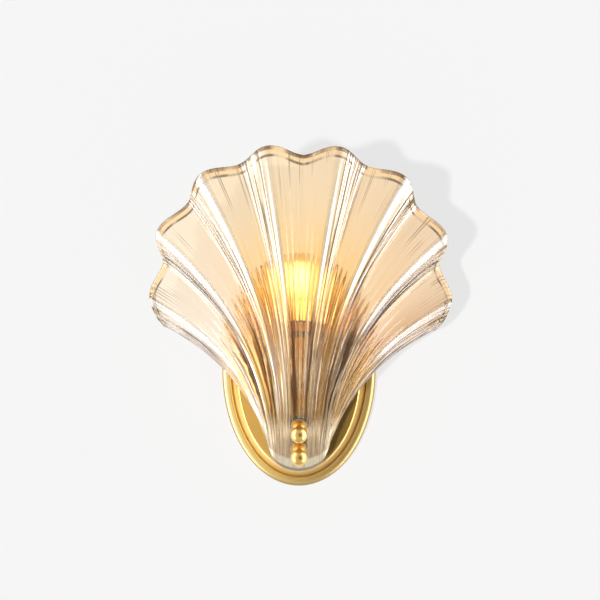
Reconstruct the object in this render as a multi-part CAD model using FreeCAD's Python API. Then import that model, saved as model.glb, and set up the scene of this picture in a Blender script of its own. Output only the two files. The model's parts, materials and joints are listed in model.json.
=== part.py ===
import FreeCAD, Part
import math
import os

# Shell wall sconce: a scallop shell of pressed glass hangs by its foot from two studs with ball
# nuts, in front of an oval brass backplate that carries an upright lampholder and its bulb.
#
# Frame, in millimetres: the wall is the plane y = 0 and the object lies on its -Y side. +Z is up
# and +X is to the right for someone facing the wall. The origin is midway between the two wall
# holes. "Reach" is the distance out from the wall, which is -y.

V = FreeCAD.Vector
os.makedirs("parts", exist_ok=True)

# ---------------------------------------------------------------- driving dimensions

# Backplate: a hollow oval with a rounded outer bead, a groove and a raised flat face.
plate_half_width = 60.0
plate_half_height = 90.0
plate_wall = 1.2
plate_reach = 22.0
bead_width = 7.0
bead_reach = 8.0
bead_outer_radius = 3.2
bead_inner_radius = 2.0
groove_depth = 2.5
bevel_width = 4.8
face_edge_radius = 1.5

# Mounting strap on the wall, inside the backplate.
strap_length = 104.0
strap_width = 20.0
strap_thickness = 2.5
wall_hole_spacing = 80.0
wall_hole_radius = 2.6

# Glass shell: foot, fan and depth.
foot_half_width = 22.5
foot_bottom = -78.8
foot_rounding = 18.7
foot_reach = 30.0
foot_tilt = 38.0
bend_height = -30.0
bend_length = 37.0
top_lean = 0.12
fan_radius = 131.7
fan_shoulder = 5.0
fan_droop = 26.0
fan_droop_power = 2.2
fan_centre_height = 32.8
scallop_depth = 4.2
foot_splay = 22.5
rim_splay = 62.0
sweep_handle = 0.4
edge_reach_at_foot = 34.0
edge_reach_at_rim = 32.0
glass_thickness = 4.2
glass_lean = 0.9

# Pleats that run from the foot to the rim of the shell.
pleat_count = 8
pleat_height = 5.5
pleat_flank_angle = 64.0
pleat_inner_share = 0.85
pleat_start = 0.05
pleat_start_delay = 0.13
pleat_growth = 1.3
glass_spans_across = 112
glass_spans_along = 18

# Studs, washers and ball nuts on the shell's foot.
stud_spacing = 22.6
stud_rise = 28.3
stud_radius = 2.0
stud_head_radius = 3.6
stud_head_thickness = 1.5
stud_end_gap = 1.5
glass_hole_clearance = 0.8
glass_cut_length = 40.0
glass_pad_radius = 7.2
glass_pad_height = 0.3
washer_bore_clearance = 0.1
rubber_washer_radius = 6.4
rubber_washer_thickness = 1.2
brass_washer_radius = 6.0
brass_washer_thickness = 1.0
nut_flange_radius = 4.6
nut_flange_thickness = 1.4
nut_flange_rim = 0.8
nut_neck_radius = 3.3
nut_neck_length = 2.2
nut_collar_radius = 4.1
nut_collar_thickness = 1.0
nut_ball_radius = 6.5
nut_bore_depth = 10.0
nut_bore_clearance = 0.06

# Brackets bent from brass strip.
bracket_thickness = 2.0
bracket_width = 20.0
shade_bend_radius = 4.0
shade_foot_top = -15.0
shade_tab_margin = 8.0
holder_bend_radius = 3.0
holder_foot_top = 34.0
holder_shelf_margin = 10.0

# Screws that hold the brackets and the backplate.
screw_radius = 2.0
screw_head_radius = 3.9
screw_head_thickness = 2.4
screw_slot_width = 1.0
screw_slot_depth = 1.1
screw_crown_radius = 1.4
screw_wall_gap = 0.4
screw_clearance = 0.15
long_screw_height = 24.0
shade_short_screw_height = -48.0
holder_short_screw_height = 4.0
small_nut_across_flats = 7.0
small_nut_thickness = 3.0
small_nut_play = 1.0

# Lampholder.
holder_reach = 54.0
holder_top = 38.0
holder_length = 48.0
holder_radius = 12.6
holder_bore_radius = 8.4
holder_floor = 22.0
holder_pad_offset = 10.6
cup_clearance = 0.2
cup_wall = 0.9
cup_height = 36.0
cup_edge_bevel = 1.5
cup_window_width = 18.0
cup_window_height = 14.0
ring_radius = 15.6
ring_thickness = 6.5
ring_drop = 1.0
ring_rib_count = 36
ring_rib_depth = 0.6
sleeve_wall = 0.7
sleeve_length = 19.0
fit_clearance = 0.05
nipple_radius = 5.0
nipple_bore_radius = 3.4
nipple_engagement = 10.0
nipple_end_gap = 0.5
lock_washer_radius = 7.6
lock_washer_thickness = 1.0
hex_nut_across_flats = 14.0
hex_nut_thickness = 3.6
nipple_tail = 1.4

# Bulb: a frosted globe on a 14 mm screw cap.
bulb_globe_radius = 22.5
bulb_length = 78.0
bulb_neck_radius = 8.0
bulb_wall = 1.0
bulb_cap_radius = 6.9
bulb_cap_length = 21.5
bulb_cap_wall = 0.4
bulb_join_angle = 48.0
bulb_collar_height = 1.6
bulb_thread_pitch = 2.82
bulb_thread_depth = 0.6
bulb_thread_margin = 1.6
bulb_contact_radius = 2.4
bulb_contact_height = 1.6
bulb_contact_rounding = 1.0
bulb_contact_gap = 0.4
bulb_insulator_height = 2.6
bulb_insulator_depth = 2.0
contact_spring_width = 6.0
contact_spring_thickness = 0.5
contact_spring_end_gap = 2.0

# Wiring inside the backplate.
block_width = 30.0
block_height = 18.0
block_depth = 13.0
block_pole_count = 3
block_pole_radius = 2.9
block_collar_length = 2.0
block_screw_radius = 1.7
block_screw_depth = 4.0
block_screw_offset = 5.0
block_screw_recess = 0.6
block_wire_stop = 3.6
block_fixing_radius = 1.5
block_fixing_head_radius = 2.7
block_fixing_head_thickness = 1.2
strap_screw_wall_gap = 0.2
grommet_across = 17.0
grommet_height = 26.0
grommet_hole_radius = 4.6
grommet_flange_radius = 6.4
grommet_flange_thickness = 1.4
grommet_bore_radius = 2.9
lead_radius = 1.1
lead_gap = 0.35
lead_end_gap = 0.3
lead_entry_height = 3.0
lead_entry_across = 3.4
lead_entry_run = 15.0
lead_rise_above_block = 8.0
lead_run_behind_face = 9.0
lead_run_before_face = 11.0
lead_bend_share = 0.45
earth_screw_height = -28.0
earth_screw_across = 5.0
earth_screw_head_radius = 3.0
earth_screw_head_thickness = 2.5

# How far a cutting shape runs past the face it cuts.
cut_overrun = 1.0

# ---------------------------------------------------------------- places that follow from them

foot_rise = math.tan(math.radians(foot_tilt))
foot_sin = math.sin(math.radians(foot_tilt))
foot_cos = math.cos(math.radians(foot_tilt))
stud_middle_height = foot_bottom + stud_rise
stud_middle_reach = foot_reach + foot_rise * stud_rise
bracket_reach = plate_reach + bracket_thickness / 2
holder_bottom = holder_top - holder_length
shelf_height = holder_bottom - cup_wall - bracket_thickness / 2
holder_washer_top = shelf_height - bracket_thickness / 2
bulb_bottom = holder_bottom + holder_floor + contact_spring_thickness + bulb_contact_gap
block_front = strap_thickness + block_depth

front_rubber_at = glass_pad_height
washer_at = front_rubber_at + rubber_washer_thickness
nut_at = washer_at + brass_washer_thickness
ball_at = nut_at + nut_flange_thickness + nut_neck_length + nut_collar_thickness
ball_centre_at = ball_at + math.sqrt(nut_ball_radius ** 2 - nut_collar_radius ** 2)
back_pad_at = -glass_thickness - glass_pad_height
back_rubber_at = back_pad_at - rubber_washer_thickness
tab_back_at = back_rubber_at - bracket_thickness
tab_middle_at = back_rubber_at - bracket_thickness / 2


# ---------------------------------------------------------------- helpers

def place(reach, across, height):
    """A point given by its reach from the wall, its place across and its height."""
    return V(across, -reach, height)


def on_foot(along, out, across=0.0):
    """A point in the frame of the shell's foot: along its slope, out from its front face."""
    reach = stud_middle_reach + along * foot_sin + out * foot_cos
    return place(reach, across, stud_middle_height + along * foot_cos - out * foot_sin)


foot_normal = V(0, -foot_cos, -foot_sin)
OUT = V(0, -1, 0)
UP = V(0, 0, 1)


def rod(radius, start, end):
    """A round rod between two points."""
    run = end - start
    return Part.makeCylinder(radius, run.Length, start, run)


def ring(outer, inner, start, end):
    """A round tube between two points."""
    run = end - start
    hole = rod(inner, start - run, end + run)
    return rod(outer, start, end).cut(hole)


def turned(profile, base, axis):
    """A turned piece: (radius, distance along the axis) points spun about the axis."""
    points = [V(radius, 0, along) for radius, along in profile]
    face = Part.Face(Part.makePolygon(points + points[:1]))
    solid = face.revolve(V(0, 0, 0), UP, 360)
    return set_on(solid, base, axis)


def set_on(solid, base, axis):
    """Moves a piece made about +Z so that its origin is at base and its +Z points along axis."""
    solid.Placement = FreeCAD.Placement(base, FreeCAD.Rotation(UP, axis))
    return solid


def hexagon(across_flats, thickness, base, axis, bore):
    """A hexagon nut with a plain bore."""
    corner = across_flats / math.sqrt(3)
    turns = [k * math.pi / 3 for k in range(7)]
    points = [V(corner * math.cos(turn), corner * math.sin(turn), 0) for turn in turns]
    nut = Part.Face(Part.makePolygon(points)).extrude(V(0, 0, thickness))
    nut = nut.cut(Part.makeCylinder(bore, 3 * thickness, V(0, 0, -thickness)))
    return set_on(nut, base, axis)


def oval(inset, reach):
    """The oval outline that lies this far inside the backplate's edge."""
    ellipse = Part.Ellipse(V(0, 0, 0), plate_half_height - inset, plate_half_width - inset)
    edge = ellipse.toShape()
    edge.Placement = FreeCAD.Placement(V(0, -reach, 0), FreeCAD.Rotation(UP, V(1, 0, 0), OUT, "ZXY"))
    return Part.Wire(edge)


def oval_block(inset, low, high):
    """A straight oval block between two reaches."""
    return Part.Face(oval(inset, low)).extrude(V(0, low - high, 0))


def oval_cone(inset_low, low, inset_high, high):
    """An oval block whose sides slope."""
    return Part.makeLoft([oval(inset_low, low), oval(inset_high, high)], True, True)


def edges_at(solid, reach, inset):
    """The oval edges of a solid at one reach and one inset."""
    found = []
    for edge in solid.Edges:
        box = edge.BoundBox
        level = abs(box.YMin + reach) < 0.01 and abs(box.YMax + reach) < 0.01
        if level and abs(box.ZMax - (plate_half_height - inset)) < 0.05:
            found.append(edge)
    return found


def bent_strip(points, bend_radius, width):
    """A strip of bracket_thickness bent along points of (reach, height), centred across."""
    half = bracket_thickness / 2
    sides = []
    for side in (half, -half):
        sides.append(offset_path(points, bend_radius, side))
    outline = sides[0] + [Part.makeLine(last_point(sides[0]), last_point(sides[1]))]
    outline += sides[1]
    outline.append(Part.makeLine(first_point(sides[1]), first_point(sides[0])))
    face = Part.Face(Part.Wire(Part.__sortEdges__(outline)))
    strip = face.extrude(V(width, 0, 0))
    strip.translate(V(-width / 2, 0, 0))
    return strip


def first_point(edges):
    return edges[0].valueAt(edges[0].FirstParameter)


def last_point(edges):
    return edges[-1].valueAt(edges[-1].LastParameter)


def offset_path(points, bend_radius, side):
    """Lines and arcs that follow a bent centre line at a distance to its left."""
    edges = []
    start = None
    for index in range(len(points) - 1):
        a = V(0, -points[index][0], points[index][1])
        b = V(0, -points[index + 1][0], points[index + 1][1])
        run = (b - a).normalize()
        left = V(1, 0, 0).cross(run) * side
        if start is None:
            start = a + left
        if index == len(points) - 2:
            edges.append(Part.makeLine(start, b + left))
            break
        c = V(0, -points[index + 2][0], points[index + 2][1])
        onward = (c - b).normalize()
        turn = run.getAngle(onward)
        back_off = bend_radius * math.tan(turn / 2)
        bend_start = b - run * back_off
        bend_end = b + onward * back_off
        inward = (onward - run).normalize()
        centre = b + inward * math.hypot(bend_radius, back_off)
        next_left = V(1, 0, 0).cross(onward) * side
        radius = (bend_start + left - centre).Length
        edges.append(Part.makeLine(start, bend_start + left))
        middle = centre - inward * radius
        edges.append(Part.Arc(bend_start + left, middle, bend_end + next_left).toShape())
        start = bend_end + next_left
    return edges


def lead(points):
    """A flexible lead: straight runs through the points, joined by arcs as large as they allow."""
    edges = []
    start = points[0]
    for before, corner, after in zip(points, points[1:], points[2:]):
        run = corner - before
        onward = after - corner
        back_off = lead_bend_share * min(run.Length, onward.Length)
        run.normalize()
        onward.normalize()
        radius = back_off / math.tan(run.getAngle(onward) / 2)
        inward = (onward - run).normalize()
        centre = corner + inward * math.hypot(radius, back_off)
        bend_start = corner - run * back_off
        bend_end = corner + onward * back_off
        edges.append(Part.makeLine(start, bend_start))
        edges.append(Part.Arc(bend_start, centre - inward * radius, bend_end).toShape())
        start = bend_end
    edges.append(Part.makeLine(start, points[-1]))
    path = Part.Wire(edges)
    section = Part.Wire(Part.makeCircle(lead_radius, points[0], points[1] - points[0]))
    return path.makePipeShell([section], True, True)


# ---------------------------------------------------------------- backplate and strap

def make_backplate():
    bead = oval_block(0, 0, bead_reach)
    groove_reach = bead_reach - groove_depth
    bead = bead.cut(oval_block(bead_width, groove_reach, bead_reach + cut_overrun))
    bead = bead.makeFillet(bead_outer_radius, edges_at(bead, bead_reach, 0))
    bead = bead.makeFillet(bead_inner_radius, edges_at(bead, bead_reach, bead_width))
    face_inset = bead_width + bevel_width
    raised = oval_cone(bead_width, groove_reach - plate_wall / 2, face_inset, plate_reach)
    raised = raised.makeFillet(face_edge_radius, edges_at(raised, plate_reach, face_inset))
    plate = bead.fuse(raised)
    ceiling = groove_reach - plate_wall
    plate = plate.cut(oval_block(plate_wall, -cut_overrun, ceiling))
    slope = bevel_width / (plate_reach - groove_reach + plate_wall / 2)
    wall_inset = plate_wall * math.hypot(1, slope)
    low_inset = bead_width + wall_inset - slope * plate_wall / 2
    high_inset = face_inset + wall_inset - slope * plate_wall
    plate = plate.cut(oval_cone(low_inset, ceiling, high_inset, plate_reach - plate_wall))
    hole = screw_radius + screw_clearance
    for height in screw_heights():
        plate = plate.cut(rod(hole, place(0, 0, height), place(2 * plate_reach, 0, height)))
    grommet_base = place(0, grommet_across, grommet_height)
    plate = plate.cut(rod(grommet_hole_radius, grommet_base, grommet_base + OUT * 2 * plate_reach))
    return plate.removeSplitter()


def screw_heights():
    return (long_screw_height, -long_screw_height, shade_short_screw_height, holder_short_screw_height)


def make_strap():
    corner = place(strap_thickness, -strap_width / 2, -strap_length / 2)
    strap = Part.makeBox(strap_width, strap_thickness, strap_length, corner)
    ends = [e for e in strap.Edges if abs(e.tangentAt(e.FirstParameter).y) > 0.99]
    strap = strap.makeFillet(strap_width / 4, ends)
    for side in (-1, 1):
        strap = cut_strap_hole(strap, wall_hole_radius, 0, side * wall_hole_spacing / 2)
        strap = cut_strap_hole(strap, screw_radius + fit_clearance, 0, side * long_screw_height)
    small = block_fixing_radius + fit_clearance
    strap = cut_strap_hole(strap, small, 0, 0)
    return cut_strap_hole(strap, small, earth_screw_across, earth_screw_height)


def cut_strap_hole(strap, radius, across, height):
    near = place(-cut_overrun, across, height)
    return strap.cut(rod(radius, near, place(strap_thickness + cut_overrun, across, height)))


# ---------------------------------------------------------------- glass shell

def crest_wave(u):
    """-1 in each valley and 1 on each crest; beyond the last crest it stays at 1."""
    last_crest = 1 - 1 / pleat_count
    return -math.cos(math.pi * pleat_count * min(abs(u), last_crest))


def pleat_wave(u):
    """The pleats across the shell, with flatter flanks than the plain wave."""
    flank = math.radians(pleat_flank_angle)
    return math.asin(math.sin(flank) * crest_wave(u)) / flank


def front_view(u, v):
    """Across and height of the shell's middle surface, u from edge to edge, v from foot to rim."""
    side = math.copysign(1, u)
    share = abs(u)
    around = math.radians(90 * u)
    x0 = foot_half_width * math.sin(around)
    z0 = foot_bottom + foot_rounding * (1 - math.cos(around))
    radius = fan_radius + fan_shoulder * math.sin(math.pi * share)
    radius -= fan_droop * share ** fan_droop_power
    radius += scallop_depth * (1 - share ** 16) * crest_wave(u)
    x3 = radius * math.sin(around)
    z3 = fan_centre_height + radius * math.cos(around)
    pull = sweep_handle * math.hypot(x3 - x0, z3 - z0)
    leave = side * math.radians(foot_splay) * share ** 3
    arrive = side * math.radians(rim_splay) * math.sin(math.radians(90 * share ** 1.2))
    x1 = x0 + pull * math.sin(leave)
    z1 = z0 + pull * math.cos(leave)
    x2 = x3 - pull * math.sin(arrive)
    z2 = z3 - pull * math.cos(arrive)
    w = 1 - v
    weights = (w ** 3, 3 * w * w * v, 3 * w * v * v, v ** 3)
    across = sum(weight * x for weight, x in zip(weights, (x0, x1, x2, x3)))
    height = sum(weight * z for weight, z in zip(weights, (z0, z1, z2, z3)))
    return across, height


def centre_reach(height):
    """How far the shell's centre line stands out: a sloping foot that bends up into a tall front."""
    if height < bend_height:
        return foot_reach + foot_rise * (height - foot_bottom)
    above = height - bend_height
    bend = (foot_rise - top_lean) * bend_length * math.atan(above / bend_length)
    return foot_reach + foot_rise * (bend_height - foot_bottom) + top_lean * above + bend


def middle_surface(u, v):
    across, height = front_view(u, v)
    centre = centre_reach(height)
    edge = edge_reach_at_foot + (edge_reach_at_rim - edge_reach_at_foot) * v
    power = 2 + 2 * (1 - v) ** 3
    return place(centre - (centre - edge) * abs(u) ** power, across, height)


def outward(u, v):
    """The direction square to the middle surface, away from the wall."""
    step = 1e-4
    along_u = middle_surface(min(u + step, 1), v) - middle_surface(max(u - step, -1), v)
    along_v = middle_surface(u, min(v + step, 1)) - middle_surface(u, max(v - step, 0))
    return along_u.cross(along_v).normalize()


def pleat(u, v):
    """Height of the pleats: none on the foot or at the free edges, growing towards the rim."""
    start = pleat_start + pleat_start_delay * (1 - abs(u))
    grown = max(0, (v - start) / (1 - start)) ** pleat_growth
    return pleat_height * grown * (1 - abs(u) ** 12) * pleat_wave(u)


def front_surface(u, v):
    return middle_surface(u, v) + outward(u, v) * pleat(u, v)


def back_surface(u, v):
    out = pleat_inner_share * pleat(u, v) - glass_thickness
    return middle_surface(u, v) + outward(u, v) * out


def make_shell():
    across = [-1 + 2 * i / glass_spans_across for i in range(glass_spans_across + 1)]
    along = [j / glass_spans_along for j in range(glass_spans_along + 1)]
    skins = []
    for side in (front_surface, back_surface):
        skin = Part.BSplineSurface()
        skin.interpolate([[side(u, v) for v in along] for u in across])
        skins.append(skin)
    front, back = skins
    u0, u1, v0, v1 = front.bounds()
    faces = [front.toShape(), back.toShape()]
    rims = [(front.vIso(v), back.vIso(v)) for v in (v0, v1)]
    rims += [(front.uIso(u), back.uIso(u)) for u in (u0, u1)]
    for front_edge, back_edge in rims:
        faces.append(Part.makeRuledSurface(front_edge.toShape(), back_edge.toShape()))
    skin = Part.makeShell(faces)
    skin.sewShape()
    glass = Part.Solid(skin)
    if glass.Volume < 0:
        glass.reverse()
    glass.rotate(on_foot(0, 0), foot_normal, -glass_lean)
    for along_foot in stud_places():
        pad_front = on_foot(along_foot, glass_pad_height)
        pad_back = on_foot(along_foot, back_pad_at)
        glass = glass.fuse(rod(glass_pad_radius, pad_back, pad_front))
    for along_foot in stud_places():
        near = on_foot(along_foot, -glass_cut_length / 2)
        far = near + foot_normal * glass_cut_length
        glass = glass.cut(rod(stud_radius + glass_hole_clearance, near, far))
    return glass


def stud_places():
    return (stud_spacing / 2, -stud_spacing / 2)


# ---------------------------------------------------------------- shade fixing

def make_shade_bracket():
    """A V of strip: its foot lies on the backplate, its tab stands behind the shell's foot."""
    reach_of_tab = tab_middle_at * foot_cos + stud_middle_reach
    height_of_tab = stud_middle_height - tab_middle_at * foot_sin
    corner_height = height_of_tab - (reach_of_tab - bracket_reach) / foot_rise
    tab_end = on_foot(stud_spacing / 2 + shade_tab_margin, tab_middle_at)
    points = [(bracket_reach, shade_foot_top), (bracket_reach, corner_height), (-tab_end.y, tab_end.z)]
    bracket = bent_strip(points, shade_bend_radius, bracket_width)
    for along in stud_places():
        near = on_foot(along, tab_back_at - cut_overrun)
        far = on_foot(along, back_rubber_at + cut_overrun)
        bracket = bracket.cut(rod(stud_radius + fit_clearance, near, far))
    return cut_screw_holes(bracket, (-long_screw_height, shade_short_screw_height))


def cut_screw_holes(bracket, heights):
    hole = screw_radius + screw_clearance
    for height in heights:
        near = place(plate_reach - cut_overrun, 0, height)
        far = place(plate_reach + bracket_thickness + cut_overrun, 0, height)
        bracket = bracket.cut(rod(hole, near, far))
    return bracket


def stud_tip():
    return nut_at + nut_bore_depth - stud_end_gap


def make_stud(along):
    shank = rod(stud_radius, on_foot(along, tab_back_at), on_foot(along, stud_tip()))
    head_back = on_foot(along, tab_back_at - stud_head_thickness)
    return shank.fuse(rod(stud_head_radius, head_back, on_foot(along, tab_back_at)))


def make_washer(along, radius, start, thickness):
    bore = stud_radius + washer_bore_clearance
    return ring(radius, bore, on_foot(along, start), on_foot(along, start + thickness))


def make_ball_nut(along):
    flange_end = nut_flange_thickness
    neck_end = flange_end + nut_neck_length
    collar_end = neck_end + nut_collar_thickness
    profile = [(0, 0), (nut_flange_radius, 0), (nut_flange_radius, nut_flange_rim),
               (nut_neck_radius, flange_end), (nut_neck_radius, neck_end),
               (nut_collar_radius, neck_end), (nut_collar_radius, collar_end), (0, collar_end)]
    nut = turned(profile, V(0, 0, 0), UP)
    ball = Part.makeSphere(nut_ball_radius, V(0, 0, ball_centre_at - nut_at))
    nut = nut.fuse(ball).removeSplitter()
    nut = nut.cut(Part.makeCylinder(stud_radius + nut_bore_clearance, nut_bore_depth))
    return set_on(nut, on_foot(along, nut_at), foot_normal)


# ---------------------------------------------------------------- lampholder bracket and screws

def make_holder_bracket():
    """An L of strip: its foot lies on the backplate, its shelf carries the lampholder."""
    shelf_end = holder_reach + holder_shelf_margin
    points = [(bracket_reach, holder_foot_top), (bracket_reach, shelf_height), (shelf_end, shelf_height)]
    bracket = bent_strip(points, holder_bend_radius, bracket_width)
    nipple_hole = nipple_radius + fit_clearance
    low = on_holder(shelf_height - bracket_thickness)
    high = on_holder(shelf_height + bracket_thickness)
    bracket = bracket.cut(rod(nipple_hole, low, high))
    return cut_screw_holes(bracket, (long_screw_height, holder_short_screw_height))


def on_holder(height):
    return place(holder_reach, 0, height)


def make_screw(height, tip_reach):
    """A slotted round-head screw through a bracket and the backplate, from the front."""
    seat = plate_reach + bracket_thickness
    shank = rod(screw_radius, place(tip_reach, 0, height), place(seat, 0, height))
    head = rod(screw_head_radius, place(seat, 0, height), place(seat + screw_head_thickness, 0, height))
    crown = [e for e in head.Edges if e.BoundBox.YMax < -seat - screw_head_thickness / 2]
    head = head.makeFillet(screw_crown_radius, crown)
    slot_top = seat + screw_head_thickness + cut_overrun
    slot_corner = place(slot_top, -screw_head_radius, height - screw_slot_width / 2)
    slot_depth = screw_slot_depth + cut_overrun
    slot = Part.makeBox(2 * screw_head_radius, slot_depth, screw_slot_width, slot_corner)
    return shank.fuse(head).cut(slot)


def make_small_nut(height):
    base = place(plate_reach - plate_wall - small_nut_thickness, 0, height)
    return hexagon(small_nut_across_flats, small_nut_thickness, base, OUT, screw_radius + fit_clearance)


# ---------------------------------------------------------------- lampholder

def make_holder_body():
    floor = holder_bottom + holder_floor
    body = rod(holder_radius, on_holder(holder_bottom), on_holder(holder_top))
    body = body.cut(rod(holder_bore_radius, on_holder(floor), on_holder(holder_top + cut_overrun)))
    socket = nipple_radius + fit_clearance
    socket_end = on_holder(holder_bottom + nipple_engagement)
    body = body.cut(rod(socket, on_holder(holder_bottom - cut_overrun), socket_end))
    pad_front = holder_reach - holder_pad_offset
    pad_corner = place(pad_front, -holder_radius, lead_entry_height - cup_window_height / 2)
    return body.cut(Part.makeBox(2 * holder_radius, holder_radius, cup_window_height, pad_corner))


def make_cup():
    inner = holder_radius + cup_clearance
    outer = inner + cup_wall
    hole = nipple_radius + fit_clearance
    profile = [(hole, 0), (outer - cup_edge_bevel, 0), (outer, cup_edge_bevel), (outer, cup_height),
               (inner, cup_height), (inner, cup_wall), (hole, cup_wall)]
    cup = turned(profile, on_holder(holder_bottom), UP)
    cup.translate(V(0, 0, -cup_wall))
    corner = place(holder_reach, -cup_window_width / 2, lead_entry_height - cup_window_height / 2)
    window = Part.makeBox(cup_window_width, 2 * outer, cup_window_height, corner)
    return cup.cut(window)


def make_holder_ring():
    """The ribbed ring screwed on the mouth of the lampholder."""
    top = holder_top - ring_drop
    low = top - ring_thickness
    band = ring(ring_radius, holder_radius + fit_clearance, on_holder(low), on_holder(top))
    for k in range(ring_rib_count):
        angle = 2 * math.pi * k / ring_rib_count
        x = ring_radius * math.sin(angle)
        y = ring_radius * math.cos(angle)
        start = on_holder(low - cut_overrun) + V(x, y, 0)
        notch = Part.makeCylinder(ring_rib_depth, ring_thickness + 2 * cut_overrun, start)
        band = band.cut(notch)
    return band


def make_thread_sleeve():
    outer = holder_bore_radius - fit_clearance
    low = holder_bottom + holder_floor + contact_spring_thickness + bulb_insulator_height
    return ring(outer, outer - sleeve_wall, on_holder(low), on_holder(low + sleeve_length))


def make_contact_spring():
    """A springy strip across the floor of the lampholder that the bulb's tip presses."""
    floor = holder_bottom + holder_floor
    length = 2 * (holder_bore_radius - contact_spring_end_gap)
    corner = place(holder_reach + contact_spring_width / 2, -length / 2, floor)
    return Part.makeBox(length, contact_spring_width, contact_spring_thickness, corner)


def make_nipple():
    low = holder_washer_top - lock_washer_thickness - hex_nut_thickness - nipple_tail
    high = holder_bottom + nipple_engagement - nipple_end_gap
    return ring(nipple_radius, nipple_bore_radius, on_holder(low), on_holder(high))


def make_lock_washer():
    low = on_holder(holder_washer_top - lock_washer_thickness)
    return ring(lock_washer_radius, nipple_radius + fit_clearance, low, on_holder(holder_washer_top))


def make_hex_nut():
    base = on_holder(holder_washer_top - lock_washer_thickness - hex_nut_thickness)
    return hexagon(hex_nut_across_flats, hex_nut_thickness, base, UP, nipple_radius + fit_clearance)


# ---------------------------------------------------------------- bulb

def cap_base():
    return bulb_contact_height + bulb_insulator_height


def make_bulb_globe():
    """Frosted glass: a globe drawn down to a neck that stands in the screw cap."""
    centre = bulb_length - bulb_globe_radius
    neck_bottom = cap_base() + bulb_cap_length
    solids = []
    for shrink in (0, bulb_wall):
        radius = bulb_globe_radius - shrink
        neck = bulb_neck_radius - shrink
        join = math.radians(bulb_join_angle)
        waist_r = radius * math.sin(join)
        waist_z = centre - radius * math.cos(join)
        start = V(neck, 0, neck_bottom)
        waist = V(waist_r, 0, waist_z)
        top = V(0, 0, centre + radius)
        edges = [Part.makeLine(V(0, 0, neck_bottom), start),
                 Part.makeLine(start, waist),
                 Part.Arc(waist, V(radius, 0, centre), top).toShape(),
                 Part.makeLine(top, V(0, 0, neck_bottom))]
        solids.append(Part.Face(Part.Wire(edges)).revolve(V(0, 0, 0), UP, 360))
    glass = solids[0].cut(solids[1])
    return set_on(glass, on_holder(bulb_bottom), UP)


def make_bulb_cap():
    """The screw cap, with its thread as rounded rings at the thread's pitch."""
    low = cap_base()
    root = bulb_cap_radius - bulb_thread_depth
    cap = Part.makeCylinder(root, bulb_cap_length, V(0, 0, low))
    threaded = bulb_cap_length - bulb_collar_height
    turns = int((threaded - bulb_thread_margin) / bulb_thread_pitch)
    for k in range(turns):
        centre = low + bulb_thread_margin + bulb_thread_pitch * k
        cap = cap.fuse(Part.makeTorus(root, bulb_thread_depth, V(0, 0, centre)))
    cap = cap.fuse(Part.makeCylinder(bulb_neck_radius, bulb_collar_height, V(0, 0, low + threaded)))
    cap = cap.cut(Part.makeCylinder(root - bulb_cap_wall, threaded, V(0, 0, low)))
    return set_on(cap, on_holder(bulb_bottom), UP)


def make_bulb_insulator():
    outer = bulb_cap_radius - bulb_thread_depth
    inner = outer - bulb_cap_wall - fit_clearance
    top = cap_base() + bulb_insulator_depth
    profile = [(0, bulb_contact_height), (bulb_contact_radius, bulb_contact_height), (outer, cap_base()),
               (inner, cap_base()), (inner, top), (0, top)]
    return turned(profile, on_holder(bulb_bottom), UP)


def make_bulb_contact():
    base = on_holder(bulb_bottom)
    tip = Part.makeCylinder(bulb_contact_radius, bulb_contact_height, base)
    low_edge = [e for e in tip.Edges if e.BoundBox.ZMax < bulb_bottom + bulb_contact_height / 2]
    return tip.makeFillet(bulb_contact_rounding, low_edge)


# ---------------------------------------------------------------- wiring

def make_terminal_block():
    """Three screw terminals in a row, with a round collar at each wire hole."""
    corner = place(block_front, -block_width / 2, -block_height / 2)
    block = Part.makeBox(block_width, block_depth, block_height, corner)
    middle = strap_thickness + block_depth / 2
    collar_end = block_height / 2 + block_collar_length
    for x in pole_places():
        low = place(middle, x, -collar_end)
        block = block.fuse(rod(block_pole_radius, low, place(middle, x, collar_end)))
    for x in pole_places():
        for side in (-1, 1):
            deep = place(middle, x, side * block_wire_stop)
            end = place(middle, x, side * (collar_end + cut_overrun))
            block = block.cut(rod(lead_radius + lead_gap, deep, end))
            near = place(block_front - block_screw_depth, x, side * block_screw_offset)
            far = near + OUT * (block_screw_depth + cut_overrun)
            block = block.cut(rod(block_screw_radius + fit_clearance, near, far))
    fixing_hole = block_fixing_radius + fit_clearance
    return block.cut(rod(fixing_hole, place(0, 0, 0), place(block_front + cut_overrun, 0, 0)))


def pole_places():
    pitch = block_width / block_pole_count
    return [pitch * (k - (block_pole_count - 1) / 2) for k in range(block_pole_count)]


def make_terminal_screws():
    screws = []
    for x in pole_places():
        for side in (-1, 1):
            near = place(block_front - block_screw_depth, x, side * block_screw_offset)
            far = near + OUT * (block_screw_depth - block_screw_recess)
            screws.append(rod(block_screw_radius, near, far))
    return Part.Compound(screws)


def make_strap_screw(across, height, seat, head_radius, head_thickness):
    """A plain-headed screw in the strap, from the front."""
    on_seat = place(seat, across, height)
    shank = rod(block_fixing_radius, place(strap_screw_wall_gap, across, height), on_seat)
    return shank.fuse(rod(head_radius, on_seat, on_seat + OUT * head_thickness))


def make_grommet():
    inner_face = plate_reach - plate_wall
    base = place(0, grommet_across, grommet_height)
    body = rod(grommet_hole_radius - fit_clearance, base + OUT * inner_face, base + OUT * plate_reach)
    for start in (inner_face - grommet_flange_thickness, plate_reach):
        low = base + OUT * start
        body = body.fuse(rod(grommet_flange_radius, low, low + OUT * grommet_flange_thickness))
    return body.cut(rod(grommet_bore_radius, base, base + OUT * 2 * plate_reach))


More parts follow.
